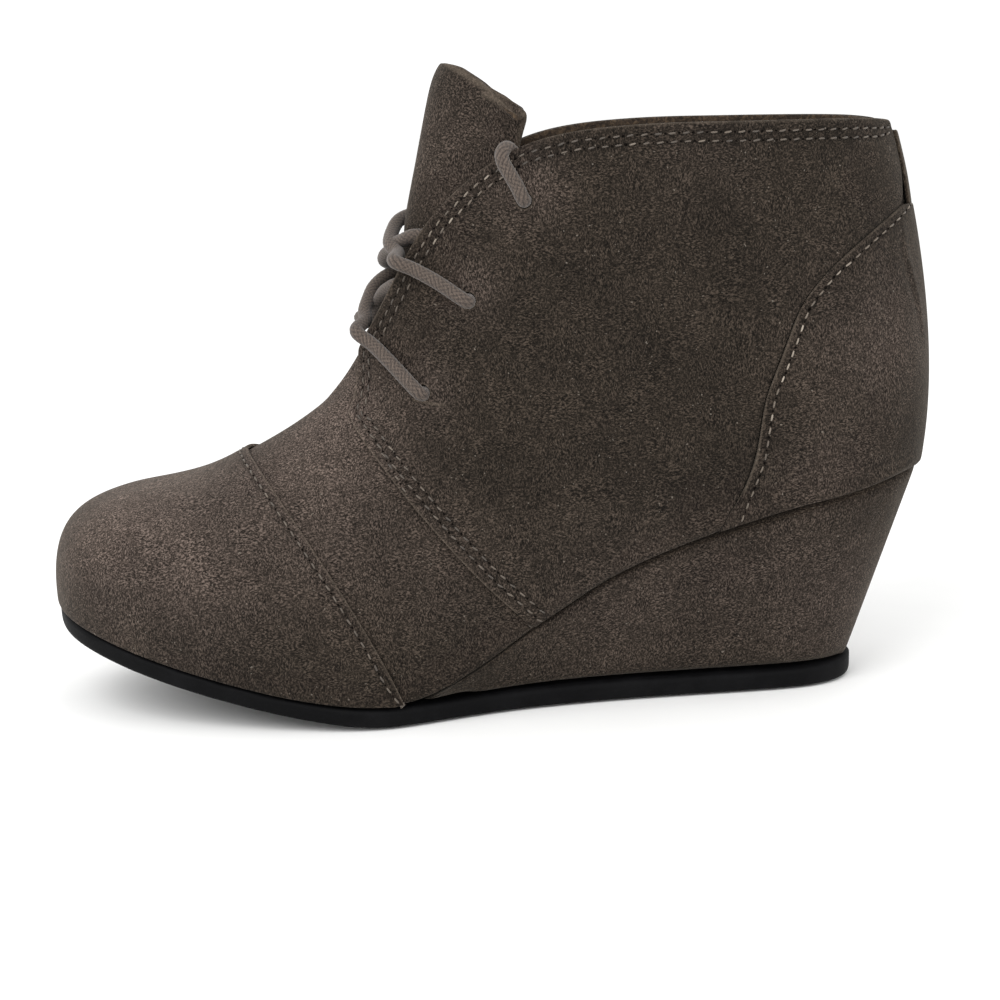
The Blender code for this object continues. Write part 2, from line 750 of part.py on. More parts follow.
def build_eyelet_cutters(last):
    """Hidden cylinders square to the quarters, one for each eyelet of each side."""
    reach = 2 * EYELET_DIAMETER
    cutters = {1: [], -1: []}
    for side, made in cutters.items():
        for station, share in EYELETS:
            mesh = bmesh.new()
            bmesh.ops.create_cone(
                mesh,
                cap_ends=True,
                segments=EYELET_SIDES,
                radius1=EYELET_DIAMETER / 2,
                radius2=EYELET_DIAMETER / 2,
                depth=reach,
            )
            axis = Vector(last.normal(side * station, share))
            turn = axis.to_track_quat("Z", "Y").to_matrix().to_4x4()
            place = Matrix.Translation(last.spot(side * station, share, 0.0))
            bmesh.ops.transform(mesh, matrix=place @ turn, verts=mesh.verts)
            cutter = make_object(f"eyelet_cutter_{side}_{len(made)}", mesh, SUEDE, 0.9)
            cutter.hide_render = True
            cutter.display_type = "WIRE"
            made.append(cutter)
    return cutters


def punch(piece, cutters):
    for cutter in cutters:
        cut = piece.modifiers.new(cutter.name, "BOOLEAN")
        cut.operation = "DIFFERENCE"
        cut.solver = "EXACT"
        cut.object = cutter


def lace_curve(name, places, count):
    """Curve object along a smooth route through the places, as thick as the lace."""
    data = bpy.data.curves.new(name, "CURVE")
    data.dimensions = "3D"
    data.bevel_depth = LACE_DIAMETER / 2
    data.bevel_resolution = LACE_ROUNDING
    data.use_fill_caps = True
    spline = data.splines.new("POLY")
    route = [smooth_curve(np.arange(len(places)), places, at) for at in steps(0.0, len(places) - 1, count)]
    spline.points.add(len(route) - 1)
    for point, place in zip(spline.points, route):
        point.co = (*place, 1.0)
    data.materials.append(finish_of(name + "_finish", LACE_TAUPE, 0.8))
    cord = bpy.data.objects.new(name, data)
    bpy.context.scene.collection.objects.link(cord)
    return cord


def strand_places(last, strand, side):
    on_quarter, over_tongue = strand
    places = []
    for station, share, lift in on_quarter:
        height = OVERLAY_GAP + OVERLAY_WALL + lift * LACE_DIAMETER
        places.append(last.spot(side * station, share, height))
    for row, across, lift in over_tongue:
        height = lift * LACE_DIAMETER
        places.append(tongue_point(row, side * across) + height * tongue_normal(row, side * across))
    return places


def build_crossing(last, name, front, back):
    """Two strands of the lace, joined where one lies on the other."""
    solids = []
    for part, strand, side in (("", front, 1), ("_under", back, -1)):
        cord = lace_curve(name + part, strand_places(last, strand, side), CROSSING_STEPS)
        mesh = bpy.data.meshes.new_from_object(cord)
        bpy.data.objects.remove(cord)
        solid = bpy.data.objects.new(name + part, mesh)
        bpy.context.scene.collection.objects.link(solid)
        solids.append(solid)
    joined, under = solids
    under.hide_render = True
    under.display_type = "WIRE"
    join = joined.modifiers.new("join", "BOOLEAN")
    join.operation = "UNION"
    join.solver = "EXACT"
    join.object = under
    return solids


def build_lace_end(last, name, side):
    outside = OVERLAY_GAP + OVERLAY_WALL + FIT_GAP + LACE_DIAMETER / 2
    inside = -(UPPER_WALL + FIT_GAP + LACE_DIAMETER / 2)
    places = []
    for station, share, cross, rise in LACE_END:
        place = last.spot(side * station, share, inside + cross * (outside - inside))
        place[2] += rise * LACE_DIAMETER
        places.append(place)
    return lace_curve(name, places, LACE_END_STEPS)


def centre_on_floor(pieces):
    """Move every piece so that the boot's box is centred over the origin and stands on the floor."""
    spots = np.array([v.co for piece in pieces if piece.type == "MESH" for v in piece.data.vertices])
    low = spots.min(axis=0)
    high = spots.max(axis=0)
    shift = Matrix.Translation((-(low[0] + high[0]) / 2, -(low[1] + high[1]) / 2, -low[2]))
    for piece in pieces:
        piece.data.transform(shift)


def main():
    clear_scene()
    last = Last()
    upper = build_upper(last)
    quarters = {1: build_quarter(last, "quarter_outer", 1), -1: build_quarter(last, "quarter_inner", -1)}
    pieces = [
        build_outsole(),
        build_wedge(last),
        build_insole(last),
        upper,
        build_tongue(upper),
        build_toe_cap(last),
        *quarters.values(),
        build_counter(last),
        build_back_strip(last),
    ]
    cutters = build_eyelet_cutters(last)
    for side, made in cutters.items():
        punch(upper, made)
        punch(quarters[side], made)
        pieces += made
    pieces += build_crossing(last, "lace_lower_crossing", LOWER_FRONT_STRAND, LOWER_BACK_STRAND)
    pieces += build_crossing(last, "lace_upper_crossing", UPPER_FRONT_STRAND, UPPER_BACK_STRAND)
    pieces += [build_lace_end(last, "lace_end_outer", 1), build_lace_end(last, "lace_end_inner", -1)]
    centre_on_floor(pieces)


main()
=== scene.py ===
import json
import math
import random

import bmesh
import bpy
import numpy as np
from mathutils import Matrix, Vector
from mathutils.bvhtree import BVHTree
from mathutils.kdtree import KDTree

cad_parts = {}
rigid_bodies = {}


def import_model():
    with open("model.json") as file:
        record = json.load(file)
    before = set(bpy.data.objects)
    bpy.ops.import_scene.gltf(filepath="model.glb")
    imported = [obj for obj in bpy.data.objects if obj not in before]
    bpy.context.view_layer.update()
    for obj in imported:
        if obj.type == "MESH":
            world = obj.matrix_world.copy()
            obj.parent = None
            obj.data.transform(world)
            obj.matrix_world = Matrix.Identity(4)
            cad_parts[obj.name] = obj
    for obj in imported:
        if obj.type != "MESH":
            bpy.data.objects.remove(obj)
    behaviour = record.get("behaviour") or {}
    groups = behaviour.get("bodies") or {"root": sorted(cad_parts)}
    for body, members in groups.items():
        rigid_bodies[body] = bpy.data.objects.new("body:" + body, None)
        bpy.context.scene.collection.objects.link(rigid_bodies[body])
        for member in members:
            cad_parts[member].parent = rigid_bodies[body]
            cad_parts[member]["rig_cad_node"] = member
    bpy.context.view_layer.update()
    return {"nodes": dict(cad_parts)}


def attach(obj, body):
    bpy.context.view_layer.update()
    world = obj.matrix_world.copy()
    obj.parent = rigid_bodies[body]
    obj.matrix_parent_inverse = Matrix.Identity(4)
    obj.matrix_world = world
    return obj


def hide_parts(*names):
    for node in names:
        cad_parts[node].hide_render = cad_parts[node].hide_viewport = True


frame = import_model()

# Wedge ankle boot in brushed faux suede, left shoe: toe to -X, outer side to -Y, sole on the floor.
MM = 0.001
BODY = "root"
random.seed(11)

# Sewing, in millimetres
THREAD = 0.52
STITCH_LENGTH = 1.95
STITCH_PITCH = 3.7
STITCH_LIFT = 0.08
ROW_INSET = 2.8
SECOND_ROW_INSET = 5.1
SINGLE_ROW_INSET = 2.4
ROW_STEP = 1.2
SHORTEST_ROW = 12
SEAM_CLEARANCE = 1.4
NEEDLE_HOLE = 1.15
EYELET = 4.8
GROOVE_DEPTH = 0.22
GROOVE_WIDTH = 0.9

# How unevenly the rows are sewn: a turn in radians, sizes and shades as shares
STITCH_SWAY = 0.10
STITCH_SIZES = (0.92, 1.06)
HOLE_SIZES = (0.85, 1.1)
SHADE_SPREAD = 0.14

# Where the thread catches more light: length and height of the place, reach in millimetres, share
NO_GLINT = (0, 0, 1, 0)
TOP_GLINT = (2, 134, 17, 0.42)
HEEL_GLINT = (84, 100, 24, 0.35)

# Degrees between two faces that make a cut edge, and how crisp the edge stays when it is smoothed
CUT_ANGLE = 38.0
CRISPNESS = 0.42

# How squarely a face looks out of the boot to be an outer face, to be the top beside a cut edge, and to be
# moved by folds and creases. Edges this many millimetres from the sole count as outer faces too.
OUTER_FACE = 0.35
TOP_FACE = 0.45
MOVED_FACE = 0.2
LASTED = 2.5

# The fold above the wedge and the crack below it, darkened with painted shade, in millimetres from the line
# where the two meet, then how far the fold rises and the crack sinks, and the fold's strength along the
# boot's length
FOLD_AWAY = 2.7
FOLD_WIDTH = 1.5
CRACK_WIDTH = 0.9
CRACK_SHADE_WIDTH = 0.75
SIDE_FOLD = (0.9, 0.3)
FOLD_PLACES = (-26, -10, 0, 60, 75, 100)
FOLD_SHARES = (0.1, 0.45, 1.0, 1.0, 0.4, 0.2)

# Lace, in millimetres
LACE = 3.8
YARNS = 8
LACE_RELIEF = 0.22
RING_STEP = 0.4
RING_SIDES = 40

# The foot's room in the boot's middle plane, as rows of (height, front, back) in millimetres: outer faces
# look away from it and linings look towards it.
ROOM_MIDDLE = 1.8
ROOM = (
    (28, -105, -10),
    (40, -106, 20),
    (50, -98, 40),
    (62, -78, 58),
    (75, -48, 104),
    (90, -26, 109),
    (105, -17, 106),
    (120, -11, 104),
    (140, 0, 100),
    (166, 20, 97),
)
ROOM_STEP = 4.0


def place(x, y, z):
    """A point in metres from the boot's own millimetres."""
    return Vector((x, y, z)) * MM


def linear(shade):
    """Linear colour from an sRGB hex value."""
    parts = [int(shade[i:i + 2], 16) / 255 for i in (1, 3, 5)]
    return [p / 12.92 if p <= 0.04045 else ((p + 0.055) / 1.055) ** 2.4 for p in parts] + [1.0]


def drop_selection():
    for thing in bpy.context.selected_objects:
        thing.select_set(False)


def take(piece):
    """Makes one object the only selected and active one."""
    drop_selection()
    piece.select_set(True)
    bpy.context.view_layer.objects.active = piece


# Materials

def add(tree, kind, inputs=None, **settings):
    """Adds a node, sets what it is told, and links or fills its inputs."""
    node = tree.nodes.new("ShaderNode" + kind)
    for name, value in settings.items():
        setattr(node, name, value)
    for name, value in (inputs or {}).items():
        socket = node.inputs[name]
        if isinstance(value, bpy.types.NodeSocket):
            tree.links.new(value, socket)
        else:
            socket.default_value = value
    return node


def start_material(name):
    material = bpy.data.materials.new(name)
    material.use_nodes = True
    tree = material.node_tree
    shader = tree.nodes["Principled BSDF"]
    spot = add(tree, "TexCoord").outputs["Object"]
    return material, tree, shader, spot


def ramp(tree, value, stops):
    """A colour ramp through (place, hex) stops."""
    node = add(tree, "ValToRGB", {"Fac": value})
    line = node.color_ramp
    while len(line.elements) < len(stops):
        line.elements.new(0.5)
    for element, (at, shade) in zip(line.elements, stops):
        element.position = at
        element.color = linear(shade)
    return node.outputs["Color"]


def blend_colours(tree, share, first, second, how="MIX"):
    node = add(tree, "Mix", {0: share, 6: first, 7: second}, data_type="RGBA", blend_type=how)
    return node.outputs[2]


def levels(tree, value, low, high, new_low, new_high):
    node = add(tree, "MapRange", {"Value": value, "From Min": low, "From Max": high,
                                  "To Min": new_low, "To Max": new_high})
    return node.outputs["Result"]


def grains(tree, spot, millimetres, detail=2.0, roughness=0.5, distortion=0.0):
    """Soft noise whose lumps are about so many millimetres wide."""
    node = add(tree, "TexNoise", {"Vector": spot, "Scale": 1 / (millimetres * MM), "Detail": detail,
                                  "Roughness": roughness, "Distortion": distortion})
    return node.outputs["Fac"]


def combed(tree, spot, turn, stretch):
    """Coordinates drawn out along a line in the boot's side, so that grains lie as short strokes."""
    node = add(tree, "Mapping", {"Vector": spot, "Rotation": (0, turn, 0), "Scale": stretch})
    return node.outputs["Vector"]


# How much paler the suede is painted at a full share, where painted light and raised nap are strongest.
PAINTED_LIGHT_AND_NAP_LIFT = 3.4


def brushed_suede(name, deep, body, lifted, cut_edge_and_highlight, nap=1.0):
    """Brushing-finished faux suede, a knit coated and sanded to a short nap: a dull speckle of fibre tips
    that lie this way and that, soft cloudy patches where a hand went over it with a brush, raw edges paler
    with cut fibres and a painted highlight, a little bloom, painted light where light falls and the nap is
    raised, and painted shade along pressed rows, cracks and panel edges."""
    material, tree, shader, spot = start_material(name)
    one = grains(tree, combed(tree, spot, 0.6, (1.0, 1.0, 0.55)), 0.38, 2.0, 0.6, 0.4)
    other = grains(tree, combed(tree, spot, -0.75, (0.6, 1.0, 1.0)), 0.41, 2.0, 0.6, 0.4)
    swirl = levels(tree, grains(tree, spot, 9.0, 2.0), 0.42, 0.58, 0.0, 1.0)
    strokes = add(tree, "Mix", {0: swirl, 2: one, 3: other}).outputs[0]
    fur = levels(tree, strokes, 0.34, 0.66, 0.0, 1.0)
    shade = ramp(tree, fur, ((0.0, deep), (0.48, body), (1.0, lifted)))
    patches = levels(tree, grains(tree, spot, 26.0, 3.0, 0.55), 0.32, 0.68, 0.80, 1.20)
    lumps = levels(tree, grains(tree, spot, 4.5, 2.0, 0.6), 0.30, 0.70, 0.90, 1.10)
    cloud = add(tree, "Math", {0: patches, 1: lumps}, operation="MULTIPLY").outputs[0]
    tone = add(tree, "CombineColor", {0: cloud, 1: cloud, 2: cloud}).outputs[0]
    shade = blend_colours(tree, 1.0, shade, tone, "MULTIPLY")
    # Painted light with raised nap: the suede is made paler, its blue a little more, at the listed spots
    # where light falls on it and the nap is raised.
    painted_light_and_nap = add(tree, "Attribute", attribute_name="painted_light_and_nap").outputs["Fac"]
    lift = levels(tree, painted_light_and_nap, 0.0, 1.0, 1.0, PAINTED_LIGHT_AND_NAP_LIFT)
    cool = levels(tree, painted_light_and_nap, 0.0, 1.0, 1.0, PAINTED_LIGHT_AND_NAP_LIFT * 1.12)
    tone = add(tree, "CombineColor", {0: lift, 1: lift, 2: cool}).outputs[0]
    shade = blend_colours(tree, 1.0, shade, tone, "MULTIPLY")
    # Raw edges: paler cut fibres, with a painted highlight along the edge.
    edge = add(tree, "Attribute", attribute_name="raw_edge").outputs["Fac"]
    pale = levels(tree, edge, 0.2, 1.0, 0.0, 0.35)
    shade = blend_colours(tree, pale, shade, linear(cut_edge_and_highlight))
    # Painted shade: the suede darkens towards its deep colour along pressed rows, along the crack above the
    # wedge and beside panel edges.
    painted_shade = add(tree, "Attribute", attribute_name="painted_shade").outputs["Fac"]
    dark = levels(tree, painted_shade, 0.0, 1.0, 0.0, 0.72)
    shade = blend_colours(tree, dark, shade, linear(deep))
    tips = levels(tree, grains(tree, spot, 0.9, 1.0, 0.5), 0.735, 0.79, 0.0, 0.3)
    shade = blend_colours(tree, tips, shade, linear("#a49a8e"))
    tree.links.new(shade, shader.inputs["Base Color"])
    ground = add(tree, "Bump", {"Strength": 0.35, "Distance": 1.6 * MM,
                                "Height": grains(tree, spot, 7.0, 2.0, 0.5)}).outputs[0]
    bump = add(tree, "Bump", {"Strength": 0.85 * nap, "Distance": 0.32 * MM, "Height": strokes,
                              "Normal": ground}).outputs[0]
    tree.links.new(bump, shader.inputs["Normal"])
    shader.inputs["Roughness"].default_value = 0.96
    shader.inputs["Specular IOR Level"].default_value = 0.12
    shader.inputs["Sheen Weight"].default_value = 0.12
    shader.inputs["Sheen Roughness"].default_value = 0.42
    shader.inputs["Sheen Tint"].default_value = linear("#f4e9da")
    return material


def moulded_rubber(name):
    """Black rubber sole, pressed in a blasted mould: a fine dry grain, barely glossy, faintly blue."""
    material, tree, shader, spot = start_material(name)
    grit = grains(tree, spot, 0.45, 3.0, 0.6)
    shade = ramp(tree, levels(tree, grit, 0.32, 0.7, 0.0, 1.0),
                 ((0.0, "#010102"), (0.6, "#040405"), (1.0, "#0c0c0f")))
    dust = levels(tree, grains(tree, spot, 14.0, 4.0, 0.6), 0.45, 0.75, 0.0, 0.05)
    shade = blend_colours(tree, dust, shade, linear("#4b4a4d"))
    tree.links.new(shade, shader.inputs["Base Color"])
    tread = add(tree, "Attribute", attribute_name="tread").outputs["Fac"]
    wave = add(tree, "TexWave", {"Vector": spot, "Scale": 26.0, "Distortion": 2.0, "Detail": 0.0,
                                 "Detail Scale": 2.0}, bands_direction="X").outputs["Fac"]
    ribs = add(tree, "Math", {0: tread, 1: wave}, operation="MULTIPLY").outputs[0]
    ribbed = add(tree, "Bump", {"Strength": 1.0, "Distance": 0.9 * MM, "Height": ribs}).outputs[0]
    bump = add(tree, "Bump", {"Strength": 0.5, "Distance": 0.12 * MM, "Height": grit,
                              "Normal": ribbed}).outputs[0]
    tree.links.new(bump, shader.inputs["Normal"])
    tree.links.new(levels(tree, grit, 0.3, 0.7, 0.56, 0.74), shader.inputs["Roughness"])
    shader.inputs["Specular IOR Level"].default_value = 0.10
    return material


def felt_lining(name):
    """Needled felt lining, mottled brown: loose fibres in clumps, with no gloss at all."""
    material, tree, shader, spot = start_material(name)
    clumps = grains(tree, spot, 1.6, 4.0, 0.65, 1.2)
    shade = ramp(tree, levels(tree, clumps, 0.3, 0.7, 0.0, 1.0),
                 ((0.0, "#1a1511"), (0.45, "#30271f"), (1.0, "#574838")))
    tree.links.new(shade, shader.inputs["Base Color"])
    bump = add(tree, "Bump", {"Strength": 0.8, "Distance": 0.6 * MM, "Height": clumps}).outputs[0]
    tree.links.new(bump, shader.inputs["Normal"])
    shader.inputs["Roughness"].default_value = 1.0
    shader.inputs["Specular IOR Level"].default_value = 0.1
    shader.inputs["Sheen Weight"].default_value = 0.2
    return material


def sock_board(name):
    """Sock lining of coated fabric over board, taupe, with a fine plain weave showing through."""
    material, tree, shader, spot = start_material(name)
    turned = combed(tree, spot, 0.0, (1.0, 1.0, 0.0))
    across = add(tree, "TexWave", {"Vector": turned, "Scale": 160.0, "Distortion": 0.6},
                 bands_direction="X").outputs["Fac"]
    along = add(tree, "TexWave", {"Vector": turned, "Scale": 160.0, "Distortion": 0.6},
                bands_direction="Y").outputs["Fac"]
    weave = add(tree, "Math", {0: across, 1: along}, operation="MULTIPLY").outputs[0]
    wear = grains(tree, spot, 18.0, 3.0)
    shade = ramp(tree, wear, ((0.3, "#5d5248"), (0.6, "#6f6357"), (0.8, "#7d7265")))
    shade = blend_colours(tree, levels(tree, weave, 0.0, 1.0, 0.35, 0.0), shade, linear("#3a322b"))
    tree.links.new(shade, shader.inputs["Base Color"])
    bump = add(tree, "Bump", {"Strength": 0.5, "Distance": 0.15 * MM, "Height": weave}).outputs[0]
    tree.links.new(bump, shader.inputs["Normal"])
    shader.inputs["Roughness"].default_value = 0.8
    return material


def braided_cotton(name):
    """Braided cotton lace, dyed pinkish taupe: plump matt yarns over and under, with painted shade darkening
    them where they dive.
    """
    material, tree, shader, spot = start_material(name)
    yarn = add(tree, "Attribute", attribute_name="yarn").outputs["Fac"]
    fibre = grains(tree, spot, 0.35, 2.0, 0.6)
    # Painted shade: near black where a yarn dives under, paler on its crown.
    shade = ramp(tree, yarn, ((0.0, "#0e0b09"), (0.45, "#3a312b"), (1.0, "#5c5047")))
    spread = levels(tree, fibre, 0.3, 0.7, 0.60, 1.35)
    tone = add(tree, "CombineColor", {0: spread, 1: spread, 2: spread}).outputs[0]
    shade = blend_colours(tree, 1.0, shade, tone, "MULTIPLY")
    tree.links.new(shade, shader.inputs["Base Color"])
    bump = add(tree, "Bump", {"Strength": 0.5, "Distance": 0.12 * MM, "Height": fibre}).outputs[0]
    tree.links.new(bump, shader.inputs["Normal"])
    shader.inputs["Roughness"].default_value = 0.9
    shader.inputs["Sheen Weight"].default_value = 0.2
    return material


def sewing_thread(name):
    """Twisted polyester thread, pale taupe, with a slight silk on top of each stitch."""
    material, tree, shader, _ = start_material(name)
    # Each stitch's shade: its own random tone plus a painted highlight where it seems to catch more light.
    tone_and_glint = add(tree, "Attribute", attribute_name="tone_and_glint").outputs["Fac"]
    shade = ramp(tree, tone_and_glint, ((0.0, "#3c342c"), (0.5, "#5f5448"), (1.0, "#a3988a")))
    tree.links.new(shade, shader.inputs["Base Color"])
    shader.inputs["Roughness"].default_value = 0.55
    shader.inputs["Sheen Weight"].default_value = 0.15
    return material


def needle_shadow(name):
    """Painted shade: the dark pit that the needle leaves in the nap beside each stitch, coloured as the shade
    inside the hole.
    """
    material, tree, shader, spot = start_material(name)
    shade = ramp(tree, grains(tree, spot, 0.5), ((0.3, "#070605"), (0.7, "#141110")))
    tree.links.new(shade, shader.inputs["Base Color"])
    shader.inputs["Roughness"].default_value = 1.0
    shader.inputs["Specular IOR Level"].default_value = 0.0
    return material


# The last colour is the pale cut fibres of a raw edge together with a painted highlight.
SUEDE = brushed_suede("brushed_faux_suede", "#0b0806", "#211c17", "#453c34", "#6f6458")
EDGE = brushed_suede("cut_suede_edge", "#100c0a", "#28211b", "#4d4439", "#6f6458", 1.3)
RUBBER = moulded_rubber("moulded_black_rubber")
FELT = felt_lining("needled_felt_lining")
SOCK = sock_board("coated_fabric_sock")
COTTON = braided_cotton("braided_cotton_lace")
THREADS = sewing_thread("twisted_polyester_thread")
HOLE_SHADE = needle_shadow("needle_hole_shade")


# The boot's own surfaces

def room_points():
    """Points all over the foot's room, close enough together to stand for it."""
    rows = np.array(ROOM, float)
    points = []
    for height in np.arange(rows[0, 0], rows[-1, 0], ROOM_STEP):
        front, back = (np.interp(height, rows[:, 0], rows[:, k]) for k in (1, 2))
        points += [(x, ROOM_MIDDLE, height) for x in np.arange(front, back, ROOM_STEP)]
    return np.array(points) * MM


ROOM_POINTS = room_points()


def outward_all(points):
    """The ways from the middle of the foot's room to many points, a row each."""
    ways = np.empty_like(points)
    for start in range(0, len(points), 2000):
        block = points[start:start + 2000]
        squares = (block ** 2).sum(1)[:, None] - 2 * block @ ROOM_POINTS.T + (ROOM_POINTS ** 2).sum(1)[None]
        ways[start:start + 2000] = block - ROOM_POINTS[squares.argmin(1)]
    return ways / np.linalg.norm(ways, axis=1)[:, None]


def outward(point):
    """The way from the middle of the foot's room to a point."""
    return Vector(outward_all(np.array([tuple(point)]))[0])


def read_points(items, field, count):
    """A list of vertices or faces as an array of one of its vectors."""
    values = np.zeros(len(items) * count)
    items.foreach_get(field, values)
    return values.reshape(-1, count)


def write_points(piece, places):
    """Moves a piece's vertices to new places, in metres."""
    piece.data.vertices.foreach_set("co", places.astype(np.float32).ravel())
    piece.data.update()


def copy_of(node, name):
    """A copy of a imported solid, its doubles merged and its triangles joined to four-sided faces again."""
    take(frame["nodes"][node])
    bpy.ops.object.duplicate()
    piece = bpy.context.object
    piece.name = name
    piece.data.name = name
    del piece["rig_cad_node"]
    piece.data.materials.clear()
    bpy.ops.object.mode_set(mode="EDIT")
    bpy.ops.mesh.select_all(action="SELECT")
    bpy.ops.mesh.remove_doubles(threshold=0.00001)
    bpy.ops.mesh.tris_convert_to_quads(face_threshold=math.radians(40), shape_threshold=math.radians(60))
    bpy.ops.mesh.select_all(action="DESELECT")
    bpy.ops.object.mode_set(mode="OBJECT")
    return piece


def crease_rims(piece, sharp=CUT_ANGLE, strength=CRISPNESS):
    """Keeps the cut edges of a panel crisp when it is smoothed."""
    mesh = bmesh.new()
    mesh.from_mesh(piece.data)
    layer = mesh.edges.layers.float.new("crease_edge")
    for edge in mesh.edges:
        if len(edge.link_faces) == 2 and edge.calc_face_angle(0) > math.radians(sharp):
            edge[layer] = strength
    mesh.to_mesh(piece.data)
    mesh.free()


def smooth_out(piece, times):
    take(piece)
    modifier = piece.modifiers.new("smooth_out", "SUBSURF")
    modifier.levels = times
    modifier.render_levels = times
    bpy.ops.object.modifier_apply(modifier="smooth_out")
    for face in piece.data.polygons:
        face.use_smooth = True
    bpy.ops.object.shade_smooth_by_angle(angle=math.radians(42))


def surface_of(*pieces):
    """One search tree over the faces of several pieces."""
    corners, faces = [], []
    for piece in pieces:
        start = len(corners)
        corners += [v.co.copy() for v in piece.data.vertices]
        faces += [[start + i for i in f.vertices] for f in piece.data.polygons]
    return BVHTree.FromPolygons(corners, faces)


def rim_points(piece):
    """The outer corner of a panel's cut edge as chains of (place, normal, way into the panel)."""
    mesh = bmesh.new()
    mesh.from_mesh(piece.data)
    mesh.normal_update()
    found = {}
    for edge in mesh.edges:
        if len(edge.link_faces) != 2 or edge.calc_face_angle(0) < math.radians(CUT_ANGLE):
            continue
        top = sorted(edge.link_faces, key=lambda f: f.normal.dot(outward(f.calc_center_median())))[1]
        if top.normal.dot(outward(top.calc_center_median())) < TOP_FACE:
            continue
        middle = (edge.verts[0].co + edge.verts[1].co) / 2
        along = (edge.verts[1].co - edge.verts[0].co).normalized()
        inward = top.calc_center_median() - middle
        inward = (inward - along * inward.dot(along)).normalized()
        found[edge] = (top.normal.copy(), inward)
    ends = {}
    for edge in found:
        for vert in edge.verts:
            ends.setdefault(vert, []).append(edge)
    chains, used = [], set()
    starts = [e for v, es in ends.items() if len(es) == 1 for e in es] + list(found)
    for first in starts:
        if first in used:
            continue
        used.add(first)
        head = next((v for v in first.verts if len(ends[v]) == 1), first.verts[0])
        walk = [head, first.other_vert(head)]
        edges = [first]
        while True:
            options = [e for e in ends[walk[-1]] if e not in used]
            if not options:
                break
            used.add(options[0])
            edges.append(options[0])
            walk.append(options[0].other_vert(walk[-1]))
        points = []
        for vert in walk:
            near = [found[e] for e in ends[vert] if e in edges]
            normal = sum((n for n, w in near), Vector()).normalized()
            inward = sum((w for n, w in near), Vector()).normalized()
            points.append((vert.co.copy(), normal, inward))
        chains.append(points)
    mesh.free()
    return chains


def length_of(points):
    return sum((b - a).length for a, b in zip(points, points[1:]))


def resample(points, step):
    """Points at an even step along a line."""
    total = length_of(points)
    count = max(2, int(round(total / step)) + 1)
    marks = np.linspace(0, total, count)
    steps = np.concatenate([[0], np.cumsum([(b - a).length for a, b in zip(points, points[1:])])])
    place_of = np.array([tuple(p) for p in points])
    return [Vector([np.interp(m, steps, place_of[:, i]) for i in range(3)]) for m in marks]


def relaxed(points, times):
    """A line with its kinks rubbed out; its ends stay."""
    for _ in range(times):
        eased = [(a + b * 2 + c) / 4 for a, b, c in zip(points, points[1:], points[2:])]
        points = [points[0]] + eased + [points[-1]]
    return points


def drawn_out(line, others, step=ROW_STEP, stop=1.3, most=7):
    """A row of sewing run on at both ends until it comes close to the neighbours."""
    if others is None:
        return line
    for _ in range(2):
        line = line[::-1]
        way = (line[-1] - line[-4]).normalized() * step * MM
        for _ in range(most):
            if others.find_nearest(line[-1] + way)[3] < stop * MM:
                break
            line.append(line[-1] + way)
    return line


def seam_lines(chains, inset, others, clearance=SEAM_CLEARANCE, shortest=45.0):
    """Lines inside a panel's edge at an inset, where that edge is free of its neighbours."""
    lines = []
    for chain in chains:
        if length_of([c[0] for c in chain]) < shortest * MM:
            continue
        free = [others is None or others.find_nearest(c[0])[3] > clearance * MM for c in chain]
        closed = (chain[0][0] - chain[-1][0]).length < 0.01 * MM
        if closed and not all(free):
            turn = free.index(False)
            chain = chain[turn:-1] + chain[:turn + 1]
            free = free[turn:-1] + free[:turn + 1]
        run = []
        for (spot, normal, inward), open_edge in zip(chain, free):
            if open_edge:
                run.append(spot + inward * inset * MM)
            elif run:
                lines.append(run)
                run = []
        if run:
            lines.append(run)
    lines = [line for line in lines if len(line) > 3 and length_of(line) > SHORTEST_ROW * MM]
    return [drawn_out(relaxed(resample(line, ROW_STEP * MM), 4), others) for line in lines]


def distances(piece, lines, reach, step=0.4):
    """How far each point of a piece lies from some lines, in millimetres; far ones all say 1000."""
    points = np.array([tuple(p) for line in lines for p in resample(line, step * MM)])
    tree = KDTree(len(points))
    for i, p in enumerate(points):
        tree.insert(p, i)
    tree.balance()
    co = read_points(piece.data.vertices, "co", 3)
    away = np.full(len(co), 1000.0)
    cell = 2 * reach * MM
    busy = {tuple(c) for c in np.unique(np.floor(points / cell).astype(int), axis=0)}
    steps = [(i, j, k) for i in (-1, 0, 1) for j in (-1, 0, 1) for k in (-1, 0, 1)]
    around = {(a + i, b + j, c + k) for a, b, c in busy for i, j, k in steps}
    for index, key in enumerate(map(tuple, np.floor(co / cell).astype(int))):
        if key in around:
            away[index] = tree.find(co[index])[2] / MM
    return away


def values_of(piece, name):
    """A named value for each point of a piece, kept from before where there is one."""
    layer = piece.data.attributes.get(name) or piece.data.attributes.new(name, "FLOAT", "POINT")
    held = np.zeros(len(piece.data.vertices), np.float32)
    layer.data.foreach_get("value", held)
    return held


def keep_values(piece, name, values):
    piece.data.attributes[name].data.foreach_set("value", values.astype(np.float32))


def press_rows(piece, lines, depth=GROOVE_DEPTH, width=GROOVE_WIDTH, shade=0.6):
    """Sewn rows pull the nap in a little, and painted shade darkens them there; the same pressing lays
    painted shadow beside a panel's edge.
    """
    if not lines:
        return
    away = distances(piece, lines, 3 * width)
    pull = np.exp(-(away / width) ** 2)
    co = read_points(piece.data.vertices, "co", 3)
    co -= read_points(piece.data.vertices, "normal", 3) * (depth * MM * pull)[:, None]
    keep_values(piece, "painted_shade", np.maximum(values_of(piece, "painted_shade"), shade * pull))
    write_points(piece, co)


